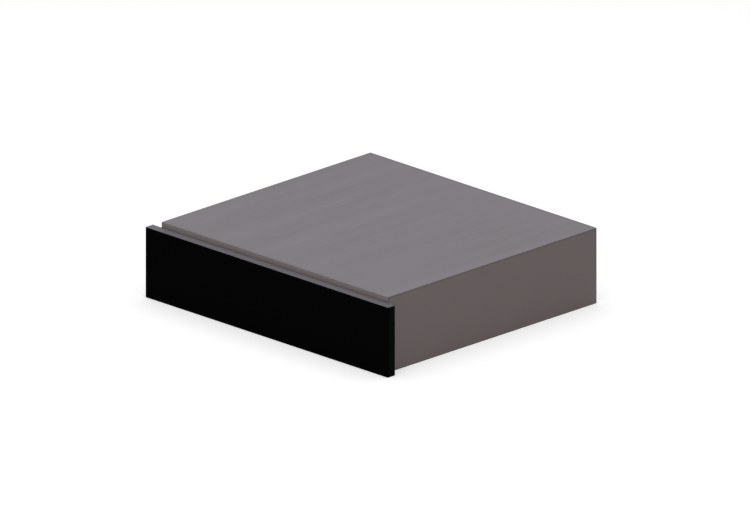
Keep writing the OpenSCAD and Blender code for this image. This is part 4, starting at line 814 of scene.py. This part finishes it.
solid.free()
rocker.data.transform(rocker_pivot)
smooth_by_angle(rocker, 35)
rocker_plastic = moulding("rocker_plastic", srgb(30, 30, 32), roughness=0.35)
rocker.data.materials.append(rocker_plastic)
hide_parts("switch_rocker")
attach(rocker, "rocker")

mark_y, mark_lift, mark_sink, line_round = 0.008, 0.00008, 0.0001, 0.00004
line_half_w, line_half_l, ring_inside, ring_outside = 0.0003, 0.0016, 0.0012, 0.0017
lean = math.atan(2 * hollow_rise * mark_y / rocker_half_l ** 2)
on_line = rounded_box("rocker_on_line", (-line_half_l, -line_half_w, -mark_sink),
                      (line_half_l, line_half_w, mark_lift), line_round, 1)
ring_section = ((ring_inside, -mark_sink), (ring_inside, mark_lift), (ring_outside, mark_lift),
                (ring_outside, -mark_sink))
off_ring = skin("rocker_off_ring",
                [round_ring((0, 0, 0), radius, height, 40) for radius, height in ring_section], loop=True)
for piece, side in ((on_line, 1), (off_ring, -1)):
    place = (Matrix.Translation(Vector((0, side * mark_y, rocker_back(mark_y))))
             @ Matrix.Rotation(side * lean, 4, "X"))
    piece.data.transform(rocker_pivot @ place)
    piece.data.materials.append(white_paint)
    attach(piece, "rocker")

# ---- Tray ----
# The drawer's structure, folded from zinc-coated sheet: a base with two upright sides behind the control box.
# The sides are screwed to the slides, and the box for the warm air closes the rear.
finish_with(zinc_sheet, "tray_base", "left_tray_side", "right_tray_side", "heater_box", "heater_lid")


# ---- Tub ----
# Deep-drawn from one stainless blank, with rounded corners, a soft bend at the mouth and a flat rim that lies
# on the tray. Its walls are brushed level all round. A window for the warm air is punched in the rear one.
def rounded_ring(middle, half_x, half_y, radius, height, steps=12):
    """A rectangle with round corners, as points at one height."""
    ring = []
    for quarter, (x, y) in enumerate(((1, 1), (-1, 1), (-1, -1), (1, -1))):
        for step in range(steps + 1):
            angle = math.radians(90 * (quarter + step / steps))
            ring.append((middle[0] + x * (half_x - radius) + radius * math.cos(angle),
                         middle[1] + y * (half_y - radius) + radius * math.sin(angle), height))
    return ring


tub_middle, rim_middle = (0, -0.033), (0, -0.0329)
tub_half_x, tub_half_y, tub_corner = 0.2559, 0.1625, 0.016
tub_floor, tub_sheet, floor_bend = 0.0118, 0.0008, 0.008
rim_half_x, rim_half_y, rim_corner, rim_top = 0.2643, 0.1712, 0.003, 0.1108
mouth_bend, edge_round = 0.002, 0.00015
window_low, window_high, window_round = (-0.15, 0.128, 0.034), (0.15, 0.132, 0.08), 0.0005


def quarter_turn(steps):
    """Angles from 0 to 90 degrees."""
    return [math.radians(90 * k / steps) for k in range(steps + 1)]


def tub_ring(outwards, height):
    """A ring round the tub's inner wall, moved outwards from it."""
    return rounded_ring(tub_middle, tub_half_x + outwards, tub_half_y + outwards, tub_corner + outwards,
                        height)


def rim_ring(inwards, height):
    """A ring round the rim's edge, moved inwards from it."""
    return rounded_ring(rim_middle, rim_half_x - inwards, rim_half_y - inwards, rim_corner - inwards, height)


def floor_bend_rings(bend, outwards, bottom):
    """Rings from the flat floor up into the wall."""
    return [tub_ring(outwards - bend * (1 - math.sin(angle)), bottom + bend * (1 - math.cos(angle)))
            for angle in quarter_turn(9)]


def mouth_rings(bend):
    """Rings from the wall out into the rim."""
    return [tub_ring(mouth_bend - bend * math.cos(angle), rim_top - mouth_bend + bend * math.sin(angle))
            for angle in quarter_turn(6)]


outside = (floor_bend_rings(floor_bend + tub_sheet, tub_sheet, tub_floor - tub_sheet)
           + mouth_rings(mouth_bend - tub_sheet))
edge = [rim_ring(edge_round, rim_top - tub_sheet), rim_ring(0, rim_top - tub_sheet + edge_round),
        rim_ring(0, rim_top - edge_round), rim_ring(edge_round, rim_top)]
inside = mouth_rings(mouth_bend)[::-1] + floor_bend_rings(floor_bend, 0, tub_floor)[::-1]
blank = skin("tub_blank", outside + edge + inside)
window = rounded_box("window_punch", window_low, window_high, window_round, 1)
punch = blank.modifiers.new("window", "BOOLEAN")
punch.object = window
punch.operation = "DIFFERENCE"
punch.solver = "EXACT"
tub = add_object("drawn_tub", plain_mesh(blank))
bpy.data.objects.remove(window)
smooth_by_angle(tub, 35)
# The edges are painted a little lighter, a painted highlight
stainless = sheet_metal("stainless", srgb(186, 186, 188), stretch=(8, 8, 420), contrast=0.05, roughness=0.3,
                        edge=1.1, bump=0.05)
tub.data.materials.clear()
tub.data.materials.append(stainless)
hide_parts("tub_liner")
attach(tub, "drawer")

# ---- Air grille ----
# A stainless plate over the tub's window, spot-welded to its rear wall. Its 28 slots have the same raised
# bead as the casing's.
finish_with(stainless, "rear_grille")
grille_low, grille_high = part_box("rear_grille")
grille_slots, slot_field = 28, 0.298
grille_places = [((i - (grille_slots - 1) / 2) * slot_field / grille_slots, grille_low.y,
                  (grille_low.z + grille_high.z) / 2) for i in range(grille_slots)]
grille_beads = grow("grille_slot_beads", slot_bead, points_mesh("grille_slots", grille_places, (0, -1, 0)),
                    {"Finish": stainless, "Slot width": 0.005, "Slot length": 0.044, "Bead radius": 0.0005})
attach(grille_beads, "drawer")

# ---- Anti-slip mat ----
# Dark grey silicone, laid loose on the tub's floor. It is moulded as a thin sheet with a raised border and
# rows of square pads, which grip the dishes and let the warm air under them.
mat_low, mat_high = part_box("anti_slip_mat")
mat_middle = ((mat_low.x + mat_high.x) / 2, (mat_low.y + mat_high.y) / 2)
mat_half_x, mat_half_y = (mat_high.x - mat_low.x) / 2, (mat_high.y - mat_low.y) / 2
pad_pitch, pad_gap, pad_height, pad_columns, pad_rows = 0.024, 0.003, 0.0006, 20, 12
field_x, field_y = (pad_columns * pad_pitch + pad_gap) / 2, (pad_rows * pad_pitch + pad_gap) / 2
mat_edge, mat_corner = 0.0003, 0.008
sheet_top = mat_high.z - pad_height


def mat_ring(inwards, height):
    """A ring round the mat's edge, moved inwards from it."""
    return rounded_ring(mat_middle, mat_half_x - inwards, mat_half_y - inwards, mat_corner, height)


mat_sheet = skin("mat_sheet", [
    mat_ring(mat_edge, mat_low.z), mat_ring(0, mat_low.z + mat_edge),
    mat_ring(0, mat_high.z - mat_edge), mat_ring(mat_edge, mat_high.z),
    rounded_ring(mat_middle, field_x + mat_edge, field_y + mat_edge, 2 * mat_edge, mat_high.z),
    rounded_ring(mat_middle, field_x, field_y, mat_edge, sheet_top)])
mat_silicone = moulding("mat_silicone", srgb(52, 52, 55), roughness=0.7, grain=700.0)

padded_sheet, sizes = geometry_tree("pad_rows", {"Columns": 20, "Rows": 12, "Pitch": 0.024, "Gap": 0.003,
                                                 "Pad height": 0.0006, "Sink": 0.0001, "Middle": (0, 0, 0)})
spans = [math_node(padded_sheet, "MULTIPLY", math_node(padded_sheet, "SUBTRACT", sizes[count], 1),
                   sizes["Pitch"]) for count in ("Columns", "Rows")]
grid = node_with(padded_sheet, "GeometryNodeMeshGrid",
                 {"Size X": spans[0], "Size Y": spans[1], "Vertices X": sizes["Columns"],
                  "Vertices Y": sizes["Rows"]})
grid = moved(padded_sheet, grid, Translation=sizes["Middle"])
drafted_pad = [(1.0, 0.985, 0.6), (0.985, 0.955, 0.25), (0.955, 0.9, 0.15)]
corner_per_side = math.sqrt(0.5)
side = math_node(padded_sheet, "SUBTRACT", sizes["Pitch"], sizes["Gap"])
pad = scaled(padded_sheet, turned_stack(padded_sheet, 4, drafted_pad),
             math_node(padded_sheet, "MULTIPLY", side, corner_per_side),
             math_node(padded_sheet, "ADD", sizes["Pad height"], sizes["Sink"]),
             math_node(padded_sheet, "MULTIPLY", sizes["Sink"], -1.0))
pad = moved(padded_sheet, pad, Rotation=(0, 0, math.radians(45)))
pads = node_with(padded_sheet, "GeometryNodeInstanceOnPoints", {"Points": grid, "Instance": pad})
end_tree(padded_sheet, sizes, joined(padded_sheet, sizes["Geometry"], pads))
mat = grow("silicone_mat", padded_sheet, mat_sheet.data,
           {"Finish": mat_silicone, "Columns": pad_columns, "Rows": pad_rows, "Pitch": pad_pitch,
            "Gap": pad_gap, "Pad height": pad_height, "Middle": (*mat_middle, sheet_top)}, degrees=25)
bpy.data.objects.remove(mat_sheet)
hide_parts("anti_slip_mat")
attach(mat, "drawer")

# ---- Warm air unit ----
# Behind the grille sit a sheathed heating element on two brackets, and a drum fan of aluminium in its scroll.
# The fan runs in a rubber bush, turned by its motor. A disc thermostat is fixed to the box's rear wall.
element_sheath = plain_metal("element_sheath", srgb(96, 94, 92), roughness=0.45)
finish_with(element_sheath, "heating_element")
finish_with(zinc_sheet, "element_brackets", "fan_scroll")
fan_sheet = sheet_metal("fan_sheet", srgb(190, 192, 195), stretch=(8, 300, 300), contrast=0.04,
                        roughness=0.35)
finish_with(fan_sheet, "fan_rotor")
finish_with(spring_steel, "fan_shaft")
finish_with(black_rubber, "fan_bush")
motor_steel = plain_metal("motor_steel", srgb(104, 106, 110), roughness=0.4)
finish_with(motor_steel, "fan_motor")
cutout_body = moulding("cutout_body", srgb(60, 54, 50), roughness=0.5)
finish_with(cutout_body, "thermal_cutout")
